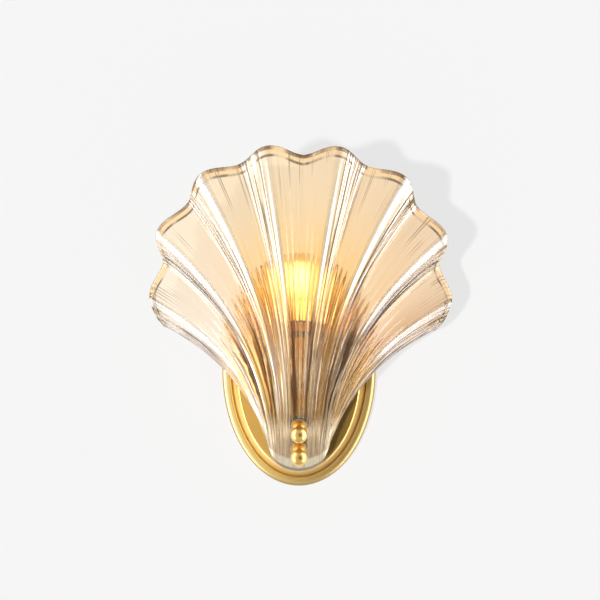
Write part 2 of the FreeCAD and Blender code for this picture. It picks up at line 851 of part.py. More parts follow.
def lead_route(side):
    """The route of one lead: from its terminal, out through the grommet, to the lampholder."""
    x = pole_places()[2 if side > 0 else 1]
    middle = strap_thickness + block_depth / 2
    through = grommet_height - side * (lead_radius + lead_gap / 2)
    entry = side * lead_entry_across
    pad = holder_reach - holder_pad_offset
    turn_reach = pad - lead_entry_run
    return [place(middle, x, block_wire_stop + lead_end_gap),
            place(middle, x, block_height / 2 + lead_rise_above_block),
            place(plate_reach - lead_run_behind_face, grommet_across, through),
            place(plate_reach + lead_run_before_face, grommet_across, through),
            place(turn_reach, entry, lead_entry_height),
            place(pad, entry, lead_entry_height)]


# ---------------------------------------------------------------- the pieces

long_screws = [make_screw(side * long_screw_height, screw_wall_gap) for side in (1, -1)]
pieces = {
    "backplate": make_backplate(),
    "mounting_strap": make_strap(),
    "shell_glass": make_shell(),
    "shade_bracket": make_shade_bracket(),
    "holder_bracket": make_holder_bracket(),
    "backplate_screws": Part.Compound(long_screws),
}
short_screw_tip = plate_reach - plate_wall - small_nut_thickness - small_nut_play
short_screws = {"shade_bracket": shade_short_screw_height, "holder_bracket": holder_short_screw_height}
for name, height in short_screws.items():
    pieces[name + "_screw"] = make_screw(height, short_screw_tip)
    pieces[name + "_nut"] = make_small_nut(height)
for name, along in zip(("upper", "lower"), stud_places()):
    pieces[name + "_stud"] = make_stud(along)
    for face, start in (("back", back_rubber_at), ("front", front_rubber_at)):
        washer = make_washer(along, rubber_washer_radius, start, rubber_washer_thickness)
        pieces[name + "_" + face + "_rubber_washer"] = washer
    brass_washer = make_washer(along, brass_washer_radius, washer_at, brass_washer_thickness)
    pieces[name + "_brass_washer"] = brass_washer
    pieces[name + "_ball_nut"] = make_ball_nut(along)
pieces.update({
    "lampholder_body": make_holder_body(),
    "lampholder_cup": make_cup(),
    "lampholder_ring": make_holder_ring(),
    "lampholder_thread_sleeve": make_thread_sleeve(),
    "lampholder_contact": make_contact_spring(),
    "lampholder_nipple": make_nipple(),
    "lampholder_lock_washer": make_lock_washer(),
    "lampholder_hex_nut": make_hex_nut(),
    "bulb_globe": make_bulb_globe(),
    "bulb_cap": make_bulb_cap(),
    "bulb_insulator": make_bulb_insulator(),
    "bulb_contact": make_bulb_contact(),
    "terminal_block": make_terminal_block(),
    "terminal_screws": make_terminal_screws(),
    "terminal_block_screw": make_strap_screw(
        0, 0, block_front, block_fixing_head_radius, block_fixing_head_thickness),
    "earth_screw": make_strap_screw(
        earth_screw_across, earth_screw_height, strap_thickness,
        earth_screw_head_radius, earth_screw_head_thickness),
    "cable_grommet": make_grommet(),
    "live_lead": lead(lead_route(1)),
    "neutral_lead": lead(lead_route(-1)),
})

for name, shape in pieces.items():
    shape.exportStep("parts/" + name + ".step")
    box = shape.BoundBox
    state = "valid" if shape.isValid() and shape.Volume > 0 else "BAD"
    print(f"{name:30s} {state} solids {len(shape.Solids)} volume {shape.Volume:9.1f}")
    print(f"    x {box.XMin:.1f}..{box.XMax:.1f} y {box.YMin:.1f}..{box.YMax:.1f}", end=" ")
    print(f"z {box.ZMin:.1f}..{box.ZMax:.1f}")
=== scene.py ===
import json
import math
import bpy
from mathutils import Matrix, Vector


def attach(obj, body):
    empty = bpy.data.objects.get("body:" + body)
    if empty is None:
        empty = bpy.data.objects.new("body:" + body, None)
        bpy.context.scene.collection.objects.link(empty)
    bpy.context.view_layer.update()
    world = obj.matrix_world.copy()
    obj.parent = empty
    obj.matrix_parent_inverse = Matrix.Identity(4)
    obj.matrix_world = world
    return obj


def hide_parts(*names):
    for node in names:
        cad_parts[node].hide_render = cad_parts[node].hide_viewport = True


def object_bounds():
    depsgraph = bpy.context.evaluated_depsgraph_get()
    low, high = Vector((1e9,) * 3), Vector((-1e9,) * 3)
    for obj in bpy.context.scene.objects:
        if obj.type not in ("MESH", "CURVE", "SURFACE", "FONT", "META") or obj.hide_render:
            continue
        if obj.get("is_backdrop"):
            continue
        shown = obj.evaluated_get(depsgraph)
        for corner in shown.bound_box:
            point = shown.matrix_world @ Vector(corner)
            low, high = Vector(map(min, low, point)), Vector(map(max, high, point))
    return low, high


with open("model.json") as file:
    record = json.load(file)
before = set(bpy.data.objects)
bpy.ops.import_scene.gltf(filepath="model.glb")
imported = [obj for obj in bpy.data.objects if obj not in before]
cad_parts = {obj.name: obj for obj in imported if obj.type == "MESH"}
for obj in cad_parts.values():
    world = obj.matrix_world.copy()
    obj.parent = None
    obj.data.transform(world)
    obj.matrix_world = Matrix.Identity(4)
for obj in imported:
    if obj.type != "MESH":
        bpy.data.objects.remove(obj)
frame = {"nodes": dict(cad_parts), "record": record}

from types import SimpleNamespace

import bpy
import numpy as np
from mathutils import Matrix, Vector

# Looks of the shell wall sconce. Metres, the part's own frame: the wall is y = 0, the object lies
# on its -Y side, +Z is up and the origin is midway between the two wall holes.


def box_now():
    """Lowest and highest corner of everything that shows, as plain lists."""
    bpy.context.view_layer.update()
    return [[float(value) for value in corner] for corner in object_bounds()]


box_at_load = box_now()

# ---------------------------------------------------------------- sizes

# Shell: the same foot, fan and pleats as the solid part.
FOOT_HALF_WIDTH = 0.0225
FOOT_BOTTOM = -0.0788
FOOT_ROUNDING = 0.0187
FOOT_REACH = 0.030
FOOT_TILT = math.radians(38)
BEND_HEIGHT = -0.030
BEND_LENGTH = 0.037
TOP_LEAN = 0.12
FAN_RADIUS = 0.1317
FAN_SHOULDER = 0.005
FAN_DROOP = 0.026
FAN_DROOP_POWER = 2.2
FAN_CENTRE_HEIGHT = 0.0328
SCALLOP_DEPTH = 0.0042
SCALLOP_END_POWER = 16
FOOT_SPLAY = math.radians(22.5)
FOOT_SPLAY_POWER = 3
RIM_SPLAY = math.radians(62)
RIM_SPLAY_POWER = 1.2
SWEEP_HANDLE = 0.4
EDGE_REACH_AT_FOOT = 0.034
EDGE_REACH_AT_RIM = 0.032
GLASS_THICKNESS = 0.0042
GLASS_LEAN = math.radians(0.9)
PLEAT_COUNT = 8
PLEAT_HEIGHT = 0.0055
PLEAT_FLANK = math.radians(64)
PLEAT_INNER_SHARE = 0.85
PLEAT_START = 0.05
PLEAT_START_DELAY = 0.13
PLEAT_GROWTH = 1.3
PLEAT_END_POWER = 12
STUD_RISE = 0.0283
STUD_SPACING = 0.0226
GLASS_HOLE_RADIUS = 0.0028
PAD_RADIUS = 0.0066
PAD_FADE_RADIUS = 0.0092
PAD_HEIGHT = 0.0003

# Finer relief that only the looks need: flutes, a rolled rim and rounded edges. Each pair says
# where along the shell something starts and where it has fully come or gone.
FLUTES_PER_FLANK = 4
FLUTE_DEPTH = 0.0008
FLUTE_GROWTH = 0.8
FLUTES_COME = (0.18, 0.40)
FLUTES_GO = (0.955, 0.97)
FACET_FLUTES_GO = (0.62, 0.90)
STEM_FLUTES_PER_FLANK = 2
STEM_FLUTE_DEPTH = 0.0010
STEM_FLUTES_COME = (0.06, 0.16)
STEM_FLUTES_GO = (0.42, 0.66)
EDGE_ROUNDING = 0.0021
RIM_ROLL_BACK = 0.0016
RIM_ROLL_FRONT = 0.0005
RIM_ROLL_COMES = (0.970, 0.979)
RIM_RECESS_COMES = (0.45, 0.7)

# The shell's mesh, and the name of the layer that holds each point's place on the shell.
SPANS_ACROSS = 704
SPANS_ALONG = 58
EDGE_SPANS = 6
NORMAL_STEP = 1e-4
CUTTER_SIDES = 48
CUTTER_LENGTH = 0.03
SURFACE_PLACES = "surface_places"

# Backplate: its outline, and the crown of its face that only its sheen shows.
PLATE_HALF_WIDTH = 0.060
PLATE_HALF_HEIGHT = 0.090
PLATE_CROWN = 1.8

FOOT_RISE = math.tan(FOOT_TILT)
FOOT_OUT = Vector((0, -math.cos(FOOT_TILT), -math.sin(FOOT_TILT)))
FOOT_UP = Vector((0, -math.sin(FOOT_TILT), math.cos(FOOT_TILT)))
STUD_MIDDLE = Vector((0, -(FOOT_REACH + FOOT_RISE * STUD_RISE), FOOT_BOTTOM + STUD_RISE))
STUD_PLACES = [STUD_MIDDLE + FOOT_UP * along for along in (STUD_SPACING / 2, -STUD_SPACING / 2)]


# ---------------------------------------------------------------- meshes

def smooth_step(ends, value):
    """0 at the first end, rising smoothly to 1 at the second."""
    low, high = ends
    share = np.clip((value - low) / (high - low), 0, 1)
    return share * share * (3 - 2 * share)


def add_to_scene(name, data):
    thing = bpy.data.objects.new(name, data)
    bpy.context.scene.collection.objects.link(thing)
    return thing


# ---------------------------------------------------------------- the shell

# A place on the shell is u, from -1 at its left edge to 1 at its right one, and v, from 0 at the
# foot's end to 1 at the rim.

def crest_wave(u):
    last_crest = 1 - 1 / PLEAT_COUNT
    return -np.cos(math.pi * PLEAT_COUNT * np.minimum(np.abs(u), last_crest))


def pleat_wave(u):
    return np.arcsin(math.sin(PLEAT_FLANK) * crest_wave(u)) / PLEAT_FLANK


def front_view(u, v):
    """Across and height of the shell's middle surface: a Bezier sweep from the foot to the rim."""
    side = np.sign(u)
    share = np.abs(u)
    around = np.radians(90 * u)
    x0 = FOOT_HALF_WIDTH * np.sin(around)
    z0 = FOOT_BOTTOM + FOOT_ROUNDING * (1 - np.cos(around))
    radius = FAN_RADIUS + FAN_SHOULDER * np.sin(math.pi * share)
    radius = radius - FAN_DROOP * share ** FAN_DROOP_POWER
    radius = radius + SCALLOP_DEPTH * (1 - share ** SCALLOP_END_POWER) * crest_wave(u)
    x3 = radius * np.sin(around)
    z3 = FAN_CENTRE_HEIGHT + radius * np.cos(around)
    pull = SWEEP_HANDLE * np.hypot(x3 - x0, z3 - z0)
    leave = side * FOOT_SPLAY * share ** FOOT_SPLAY_POWER
    arrive = side * RIM_SPLAY * np.sin(np.radians(90 * share ** RIM_SPLAY_POWER))
    x1 = x0 + pull * np.sin(leave)
    z1 = z0 + pull * np.cos(leave)
    x2 = x3 - pull * np.sin(arrive)
    z2 = z3 - pull * np.cos(arrive)
    w = 1 - v
    weights = (w ** 3, 3 * w * w * v, 3 * w * v * v, v ** 3)
    across = sum(weight * x for weight, x in zip(weights, (x0, x1, x2, x3)))
    height = sum(weight * z for weight, z in zip(weights, (z0, z1, z2, z3)))
    return across, height


def centre_reach(height):
    """How far the shell's middle line stands out from the wall."""
    above = np.maximum(height - BEND_HEIGHT, 0)
    bend = (FOOT_RISE - TOP_LEAN) * BEND_LENGTH * np.arctan(above / BEND_LENGTH)
    high = FOOT_REACH + FOOT_RISE * (BEND_HEIGHT - FOOT_BOTTOM) + TOP_LEAN * above + bend
    low = FOOT_REACH + FOOT_RISE * (height - FOOT_BOTTOM)
    return np.where(height < BEND_HEIGHT, low, high)


def middle_surface(u, v):
    across, height = front_view(u, v)
    centre = centre_reach(height)
    edge = EDGE_REACH_AT_FOOT + (EDGE_REACH_AT_RIM - EDGE_REACH_AT_FOOT) * v
    power = 2 + 2 * (1 - v) ** 3
    reach = centre - (centre - edge) * np.abs(u) ** power
    return np.stack([across, -reach, height], axis=-1)


def outward(u, v):
    """The direction square to the middle surface, away from the wall."""
    step = NORMAL_STEP
    along_u = middle_surface(np.minimum(u + step, 1), v) - middle_surface(np.maximum(u - step, -1), v)
    along_v = middle_surface(u, np.minimum(v + step, 1)) - middle_surface(u, np.maximum(v - step, 0))
    normal = np.cross(along_u, along_v)
    return normal / np.linalg.norm(normal, axis=-1, keepdims=True)


def pleat(u, v):
    start = PLEAT_START + PLEAT_START_DELAY * (1 - np.abs(u))
    grown = np.maximum(0, (v - start) / (1 - start)) ** PLEAT_GROWTH
    return PLEAT_HEIGHT * grown * (1 - np.abs(u) ** PLEAT_END_POWER) * pleat_wave(u)


def flutes(u, v):
    """Depth of the flutes: broad ones in the stem, fine ones up the risers and low on the facets."""
    half_pleats = PLEAT_COUNT * np.abs(u)
    along_flank = half_pleats - np.floor(half_pleats)
    on_riser = np.floor(half_pleats) % 2
    flank_middle = np.sin(math.pi * along_flank) ** 0.5
    share = on_riser + (1 - on_riser) * (1 - smooth_step(FACET_FLUTES_GO, v))
    fine_ends = smooth_step(FLUTES_COME, v) * (1 - smooth_step(FLUTES_GO, v))
    fine = 0.5 - 0.5 * np.cos(2 * math.pi * FLUTES_PER_FLANK * along_flank)
    fine_depth = FLUTE_DEPTH * v ** FLUTE_GROWTH * share * flank_middle * fine_ends * fine
    broad_ends = smooth_step(STEM_FLUTES_COME, v) * (1 - smooth_step(STEM_FLUTES_GO, v))
    broad = 0.5 - 0.5 * np.cos(2 * math.pi * STEM_FLUTES_PER_FLANK * along_flank)
    broad_depth = STEM_FLUTE_DEPTH * broad_ends * broad
    return (fine_depth + broad_depth) * (1 - np.abs(u) ** PLEAT_END_POWER)


def pads(surface):
    """1 on the two flat pads round the studs, falling to 0 around them."""
    share = 0
    for stud in STUD_PLACES:
        from_stud = np.linalg.norm(surface - np.array(stud), axis=-1)
        share = np.maximum(share, 1 - smooth_step((PAD_RADIUS, PAD_FADE_RADIUS), from_stud))
    return share


def shell_sides(u, v):
    """Front and back surface of the glass over the same places."""
    middle = middle_surface(u, v)
    normal = outward(u, v)
    roll = smooth_step(RIM_ROLL_COMES, v)
    recess = RIM_ROLL_FRONT * smooth_step(RIM_RECESS_COMES, v) * (1 - roll)
    pad = PAD_HEIGHT * pads(middle)
    pleats = pleat(u, v)
    front = pleats - recess - flutes(u, v) + pad
    back = PLEAT_INNER_SHARE * pleats - GLASS_THICKNESS - RIM_ROLL_BACK * roll - pad
    return middle + normal * front[..., None], middle + normal * back[..., None]


def shell_grids():
    """Places over the whole shell, and the same places drawn in by the rounding of its edges."""
    u, v = np.linspace(-1, 1, SPANS_ACROSS + 1), np.linspace(0, 1, SPANS_ALONG + 1)
    u, v = np.meshgrid(u, v, indexing="ij")
    middle = middle_surface(u, v)
    width = np.linalg.norm(np.diff(middle, axis=0), axis=-1).sum(axis=0) / 2
    length = np.linalg.norm(np.diff(middle, axis=1), axis=-1).sum(axis=1)
    inset_u = EDGE_ROUNDING / width[None, :]
    inset_v = EDGE_ROUNDING / length[:, None]
    return (u, v), (u * (1 - inset_u), inset_v + v * (1 - 2 * inset_v))


def shell_mesh():
    """Vertices, faces and places: two skins joined round their edge by half-round strips."""
    whole, (u, v) = shell_grids()
    front, back = shell_sides(u, v)
    whole_front, whole_back = shell_sides(*whole)
    tip = (whole_front + whole_back) / 2
    count_u, count_v = u.shape
    index = np.arange(count_u * count_v).reshape(count_u, count_v)
    loop = [(i, 0) for i in range(count_u - 1)]
    loop += [(count_u - 1, j) for j in range(count_v - 1)]
    loop += [(i, count_v - 1) for i in range(count_u - 1, 0, -1)]
    loop += [(0, j) for j in range(count_v - 1, 0, -1)]
    skin_places = np.stack([u, v], axis=-1)
    vertices = [front.reshape(-1, 3), back.reshape(-1, 3)]
    places = [skin_places.reshape(-1, 2)] * 2
    corners = (index[:-1, :-1], index[1:, :-1], index[1:, 1:], index[:-1, 1:])
    quads = np.stack(corners, axis=-1).reshape(-1, 4)
    faces = [quads, quads[:, ::-1] + index.size]
    rows = [np.array([index[place] for place in loop])]
    for k in range(1, EDGE_SPANS):
        turn = math.pi * k / EDGE_SPANS
        ring = []
        for place in loop:
            centre = (front[place] + back[place]) / 2
            half = (front[place] - back[place]) / 2
            ring.append(centre + half * math.cos(turn) + (tip[place] - centre) * math.sin(turn))
        rows.append(2 * index.size + (k - 1) * len(loop) + np.arange(len(loop)))
        vertices.append(np.array(ring))
        places.append(np.array([skin_places[place] for place in loop]))
    rows.append(rows[0] + index.size)
    for row, next_row in zip(rows, rows[1:]):
        faces.append(np.stack([row, next_row, np.roll(next_row, -1), np.roll(row, -1)], axis=-1))
    lean = Matrix.Rotation(-GLASS_LEAN, 3, FOOT_OUT)
    pivot = np.array(STUD_MIDDLE)
    vertices = (np.concatenate(vertices) - pivot) @ np.array(lean).T + pivot
    return vertices.tolist(), np.concatenate(faces).tolist(), np.concatenate(places)


def cut_stud_holes(shell):
    """Cuts the two holes and keeps the cut mesh, with no modifier left on the shell."""
    cutters = []
    for stud in STUD_PLACES:
        bpy.ops.mesh.primitive_cylinder_add(
            vertices=CUTTER_SIDES, radius=GLASS_HOLE_RADIUS, depth=CUTTER_LENGTH)
        cutter = bpy.context.object
        cutter.rotation_mode = "QUATERNION"
        cutter.rotation_quaternion = FOOT_OUT.to_track_quat("Z", "Y")
        cutter.location = stud
        cutters.append(cutter)
    for cutter in cutters:
        cut = shell.modifiers.new("stud_hole", "BOOLEAN")
        cut.object = cutter
        cut.solver = "EXACT"
    bpy.context.view_layer.update()
    cut_mesh = bpy.data.meshes.new_from_object(shell.evaluated_get(bpy.context.evaluated_depsgraph_get()))
    shell.modifiers.clear()
    shell.data = cut_mesh
    for cutter in cutters:
        bpy.data.objects.remove(cutter)


def make_shell(material):
    """The glass as it shows: it stands for the solid shell."""
    vertices, faces, places = shell_mesh()
    mesh = bpy.data.meshes.new("shell_glass_fine")
    mesh.from_pydata(vertices, [], faces)
    corners = np.empty(len(mesh.loops), dtype=np.int32)
    mesh.loops.foreach_get("vertex_index", corners)
    mesh.uv_layers.new(name=SURFACE_PLACES).data.foreach_set("uv", places[corners].ravel())
    mesh.polygons.foreach_set("use_smooth", [True] * len(mesh.polygons))
    mesh.materials.append(material)
    shell = add_to_scene("shell_glass_fine", mesh)
    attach(shell, "fitting")
    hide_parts("shell_glass")
    cut_stud_holes(shell)


# ---------------------------------------------------------------- shader building

class Nodes:
    """Short calls that build one shader tree. A colour is three numbers."""

    def __init__(self, tree):
        self.tree = tree
        tree.nodes.clear()

    def feed(self, socket, value):
        if isinstance(value, bpy.types.NodeSocket):
            self.tree.links.new(value, socket)
        elif socket.type == "RGBA":
            socket.default_value = (*value, 1)
        else:
            socket.default_value = value

    def add(self, kind, inputs=None, **settings):
        node = self.tree.nodes.new(kind)
        for name, value in settings.items():
            setattr(node, name, value)
        for name, value in (inputs or {}).items():
            self.feed(node.inputs[name], value)
        return node

    def place(self):
        return self.add("ShaderNodeTexCoord").outputs["Object"]

    def scaled(self, vector, scale):
        return self.add("ShaderNodeMapping", {"Vector": vector, "Scale": scale}).outputs["Vector"]

    def split(self, vector):
        """The vector's three parts."""
        parts = self.add("ShaderNodeSeparateXYZ", {"Vector": vector}).outputs
        return parts["X"], parts["Y"], parts["Z"]

    def noise(self, scale, detail, vector=None):
        inputs = {"Vector": vector or self.place(), "Scale": scale, "Detail": detail}
        return self.add("ShaderNodeTexNoise", inputs).outputs["Fac"]

    def stretched_noise(self, scale, detail, vector=None):
        """Noise with a scale of its own along each axis."""
        return self.noise(1.0, detail, self.scaled(vector or self.place(), scale))

    def between(self, factor, low, high, first=0.0, last=1.0):
        """A value that goes from low to high as the factor goes from first to last."""
        inputs = {"Value": factor, "From Min": first, "From Max": last, "To Min": low, "To Max": high}
        return self.add("ShaderNodeMapRange", inputs).outputs["Result"]

    def fade(self, value, ends):
        """0 where the value is at or beyond the first end, rising smoothly to 1 at the second."""
        inputs = {"Value": value, "From Min": ends[0], "From Max": ends[1]}
        return self.add("ShaderNodeMapRange", inputs, interpolation_type="SMOOTHSTEP").outputs["Result"]

    def ramp(self, factor, stops, interpolation="LINEAR"):
        node = self.add("ShaderNodeValToRGB", {"Fac": factor})
        ramp = node.color_ramp
        ramp.interpolation = interpolation
        while len(ramp.elements) < len(stops):
            ramp.elements.new(0.5)
        for element, (position, colour) in zip(ramp.elements, stops):
            element.position = position
            element.color = (*colour, 1)
        return node.outputs["Color"]

    def math(self, operation, *values):
        return self.add("ShaderNodeMath", dict(enumerate(values)), operation=operation).outputs["Value"]

    def times(self, first, *others):
        for other in others:
            first = self.math("MULTIPLY", first, other)
        return first

    def most(self, first, *others):
        for other in others:
            first = self.math("MAXIMUM", first, other)
        return first

    def length(self, first, second):
        squares = (self.math("POWER", first, 2.0), self.math("POWER", second, 2.0))
        return self.math("SQRT", self.math("ADD", *squares))

    def blend(self, share, first, second):
        """A value between two others."""
        return self.math("MULTIPLY_ADD", share, self.math("SUBTRACT", second, first), first)

    def mix_colour(self, factor, first, second):
        inputs = {"Factor": factor, "A": first, "B": second}
        node = self.add("ShaderNodeMix", data_type="RGBA")
        for socket in node.inputs:
            if socket.name in inputs and socket.enabled:
                self.feed(socket, inputs[socket.name])
        return next(socket for socket in node.outputs if socket.enabled)

    def mix_shader(self, factor, first, second):
        return self.add("ShaderNodeMixShader", {"Fac": factor, 1: first, 2: second}).outputs["Shader"]

    def bump(self, height, strength, distance, under=None):
        inputs = {"Height": height, "Strength": strength, "Distance": distance}
        if under:
            inputs["Normal"] = under
        return self.add("ShaderNodeBump", inputs).outputs["Normal"]

    def shader(self, kind, **inputs):
        """A shader whose inputs are named in words joined by underscores."""
        named = {name.replace("_", " "): value for name, value in inputs.items()}
        return self.add(kind, named).outputs[0]

    def principled(self, **inputs):
        return self.shader("ShaderNodeBsdfPrincipled", **inputs)

    def output(self, shader):
        self.add("ShaderNodeOutputMaterial", {"Surface": shader})


def new_material(name):
    """A material with an empty shader tree, and the calls that fill it."""
    material = bpy.data.materials.new(name)
    material.use_nodes = True
    return material, Nodes(material.node_tree)


# ---------------------------------------------------------------- metal, plastic and rubber

METAL_CLOUD_SCALE = 60.0
METAL_DETAIL = 4.0
METAL_GRAIN_DEPTH = 0.0002
METAL_ROUGHNESS_SPREAD = (0.8, 1.25)

# The plate's face and its lip: where one gives way to the other, measured in half axes from the
# middle, and the dark and the light tone of each. To the right, in half widths, the lip darkens and
# the face goes from the first metallic share to the second: both are painted shade on the right side.
# The lip's paler left tones are painted light, and the dark tone of its outer side is painted shade.
LIP_COMES = (0.80, 0.84)
LIP_SIDE_COMES = (0.965, 0.995)
LIP_SHADE_COMES = (-0.7, 0.6)
FACE_BRASS = ((0.80, 0.46, 0.11), (0.94, 0.59, 0.17))
LIT_LEFT_LIP_BRASS = ((0.92, 0.68, 0.27), (1.0, 0.77, 0.34))
SHADED_RIGHT_LIP_BRASS = ((0.62, 0.43, 0.16), (0.72, 0.51, 0.20))
SHADED_LIP_SIDE_BRASS = (0.40, 0.28, 0.11)
FACE_METALLIC_LIT_TO_SHADED = (0.98, 0.68)
LIP_METALLIC = 0.72
FACE_SHADE_REACHES = 0.7
FACE_TO_LIP_ROUGHNESS = (0.20, 0.36)
BRASS_GRAIN_SCALE = (900, 900, 900)
BRASS_GRAIN = 0.08

MOTTLE_SHARE = 0.08
MOTTLE_DETAIL = 3.0
SKIN_DETAIL = 2.0
SKIN_FINENESS = 6
SKIN_BUMP = (0.15, 0.0001)
SKIN_ROUGHNESS_SPREAD = (0.85, 1.15)


def metal(name, colour, dark_colour, roughness, grain_scale, grain):
    """A metal with cloudy tone, fine grain in its roughness and a slight bump."""
    material, nodes = new_material(name)
    cloud = nodes.noise(METAL_CLOUD_SCALE, METAL_DETAIL)
    fine = nodes.stretched_noise(grain_scale, METAL_DETAIL)
    nodes.output(nodes.principled(
        Base_Color=nodes.mix_colour(cloud, dark_colour, colour),
        Metallic=1.0,
        Roughness=nodes.between(fine, *(roughness * spread for spread in METAL_ROUGHNESS_SPREAD)),
        Normal=nodes.bump(fine, grain, METAL_GRAIN_DEPTH)))
    return material


def satin_brass():
    """Lacquered brass: a slightly crowned, deeper middle and a softer lip round the plate. The lip is
    painted paler on the left as painted light and darker on the right and on its outer side as painted
    shade, and the face's metallic share falls to the right as painted shade.
    """
    material, nodes = new_material("brass_satin")
    x, _, z = nodes.split(nodes.place())
    across = nodes.math("DIVIDE", x, PLATE_HALF_WIDTH)
    off_middle = nodes.length(across, nodes.math("DIVIDE", z, PLATE_HALF_HEIGHT))
    on_lip = nodes.fade(off_middle, LIP_COMES)
    cloud = nodes.noise(METAL_CLOUD_SCALE, METAL_DETAIL)
    face = nodes.mix_colour(cloud, *FACE_BRASS)
    # The lip's paler left tones are painted light and its darker right tones painted shade.
    lit_left_lip = nodes.mix_colour(cloud, *LIT_LEFT_LIP_BRASS)
    shaded_right_lip = nodes.mix_colour(cloud, *SHADED_RIGHT_LIP_BRASS)
    lip = nodes.mix_colour(nodes.between(across, 0.0, 1.0, *LIP_SHADE_COMES), lit_left_lip, shaded_right_lip)
    # The dark tone of the lip's outer side is painted shade.
    lip = nodes.mix_colour(nodes.fade(off_middle, LIP_SIDE_COMES), lip, SHADED_LIP_SIDE_BRASS)
    fine = nodes.stretched_noise(BRASS_GRAIN_SCALE, METAL_DETAIL)
    crown = nodes.times(nodes.math("POWER", x, 2.0), -PLATE_CROWN)
    # The face's metallic share falls towards the right: painted shade.
    face_metallic = nodes.between(across, *FACE_METALLIC_LIT_TO_SHADED, 0.0, FACE_SHADE_REACHES)
    nodes.output(nodes.principled(
        Base_Color=nodes.mix_colour(on_lip, face, lip),
        Metallic=nodes.blend(on_lip, face_metallic, LIP_METALLIC),
        Roughness=nodes.times(nodes.between(on_lip, *FACE_TO_LIP_ROUGHNESS),
                              nodes.between(fine, *METAL_ROUGHNESS_SPREAD)),
        Normal=nodes.bump(fine, BRASS_GRAIN, METAL_GRAIN_DEPTH, nodes.bump(crown, 1.0, 1.0))))
    return material


def plain(name, colour, roughness, mottle_scale, clearness=0.0):
    """A plastic, rubber or sleeving with a faint mottle and a fine surface grain."""
    material, nodes = new_material(name)
    darker = tuple(channel * (1 - MOTTLE_SHARE) for channel in colour)
    grain = nodes.noise(mottle_scale * SKIN_FINENESS, SKIN_DETAIL)
    nodes.output(nodes.principled(
        Base_Color=nodes.mix_colour(nodes.noise(mottle_scale, MOTTLE_DETAIL), darker, colour),
        Roughness=nodes.between(grain, *(roughness * spread for spread in SKIN_ROUGHNESS_SPREAD)),
        Transmission_Weight=clearness,
        Normal=nodes.bump(grain, *SKIN_BUMP)))
    return material


# ---------------------------------------------------------------- glass

# Where each zone of the shell comes in: none of it at the first number, all of it at the second.
# ALONG goes from 0 at the foot's end to 1 at the rim, ACROSS from -1 to 1, and OFF_CENTRE from 0 on
# the middle line to 1 at either edge.
ALONG = {
    "stem": (0.60, 0.40),
    "foot": (0.20, 0.10),
    "foot_band": (0.045, 0.030),
    "foot_line": (0.014, 0.009),
    "rim": (0.977, 0.980),
    "rim_line_low": (0.971, 0.974),
    "rim_line_high": (0.980, 0.977),
    "rim_edge": (0.9890, 0.9915),
    "top": (0.70, 0.93),
    "seams": (0.82, 0.95),
    "near_lamp": (0.98, 0.52),
    "over_lamp": (0.86, 0.62),
    "under_lamp_low": (0.34, 0.44),
    "under_lamp_high": (0.66, 0.56),
    "chips": (0.52, 0.36)}
ACROSS = {
    "stem_right": (0.20, 0.50),
    "chips": (0.60, 0.80)}
OFF_CENTRE = {
    "stem_middle": (0.42, 0.12),
    "top_middle": (0.30, 0.20),
    "near_lamp": (0.80, 0.15),
    "over_lamp": (0.48, 0.30),
    "under_lamp": (0.62, 0.35),
    "side_edge": (0.978, 0.988),
    "foot_side_line": (0.960, 0.972),
    "foot_side_band": (0.935, 0.955)}

# Each pleat runs from 0 to 2: valley, facet, crest at 1, riser.
ON_PLEAT = {
    "crest_low": (0.91, 0.97),
    "crest_high": (1.22, 1.15),
    "riser_low": (1.12, 1.30),
    "riser_high": (2.0, 1.9)}

# Streaks: the levels of the fine noise at which each kind comes in.
STREAKS = {
    "pale": (0.54, 0.68),
    "dark": (0.40, 0.28),
    "seam": (0.22, 0.12),
    "lamp": (0.48, 0.66)}
STREAK_SCALE = (120, 2.2, 1)
STREAK_DETAIL = 1.5
PATCH_SCALE = (16, 7.0, 1)
PATCH_DETAIL = 2.0
NOISE_REACH = (0.30, 0.70)

# Stripes of the stem, picked by a random number from 0 to 1: where each kind starts, the tint of its
# glass, the colour of its gleam, how much it gleams and how dark it is. The tints and darkness are
# painted refraction: the light and dark streaks that the fluted stem shows.
STRIPES_ACROSS = 62
STRIPE_WANDER = 0.9
STRIPE_BORDER = (0.11, 0.05)
STRIPES_WITH_BORDER = (0.18, 0.28)
STEM_STRIPES = [
    (0.00, (0.50, 0.24, 0.07), (1.00, 0.80, 0.50), 0.00, 0.62),
    (0.08, (1.00, 0.61, 0.15), (1.00, 0.64, 0.21), 0.26, 0.00),
    (0.30, (0.95, 0.66, 0.27), (0.95, 0.75, 0.40), 0.26, 0.06),
    (0.46, (1.00, 0.88, 0.64), (1.00, 0.93, 0.70), 0.48, 0.00),
    (0.60, (0.86, 0.72, 0.66), (0.78, 0.71, 0.74), 0.32, 0.10),
    (0.67, (1.00, 0.67, 0.19), (1.00, 0.78, 0.34), 0.20, 0.03),
    (0.82, (1.00, 0.92, 0.78), (1.00, 0.96, 0.88), 0.60, 0.00),
    (0.93, (0.70, 0.34, 0.08), (1.00, 0.70, 0.36), 0.06, 0.36)]

# Tints of the glass. The facets' go from the shell's left edge, at 0, to its right edge, at 1. Besides
# the glass's own amber, their darkening towards the right, most of all in the last step, is painted shade.
FACET_TINTS_AND_SHADE = [
    (0.00, (0.97, 0.83, 0.69)), (0.25, (0.96, 0.76, 0.55)), (0.42, (0.96, 0.72, 0.44)),
    (0.60, (0.94, 0.66, 0.38)), (0.89, (0.92, 0.62, 0.37)), (0.93, (0.72, 0.42, 0.21))]
TOP_TINT = (0.80, 0.72, 0.55)
TOP_TINT_SHARE = 0.25
TOP_TINT_COMES = (0.75, 0.97)
# Painted lamp glow: the glass is painted a deeper orange near the bulb.
LAMP_GLOW_TINT = (0.97, 0.65, 0.25)
STREAK_TINT = (1, 0.93, 0.78)
STREAK_TINT_SHARE = 0.22
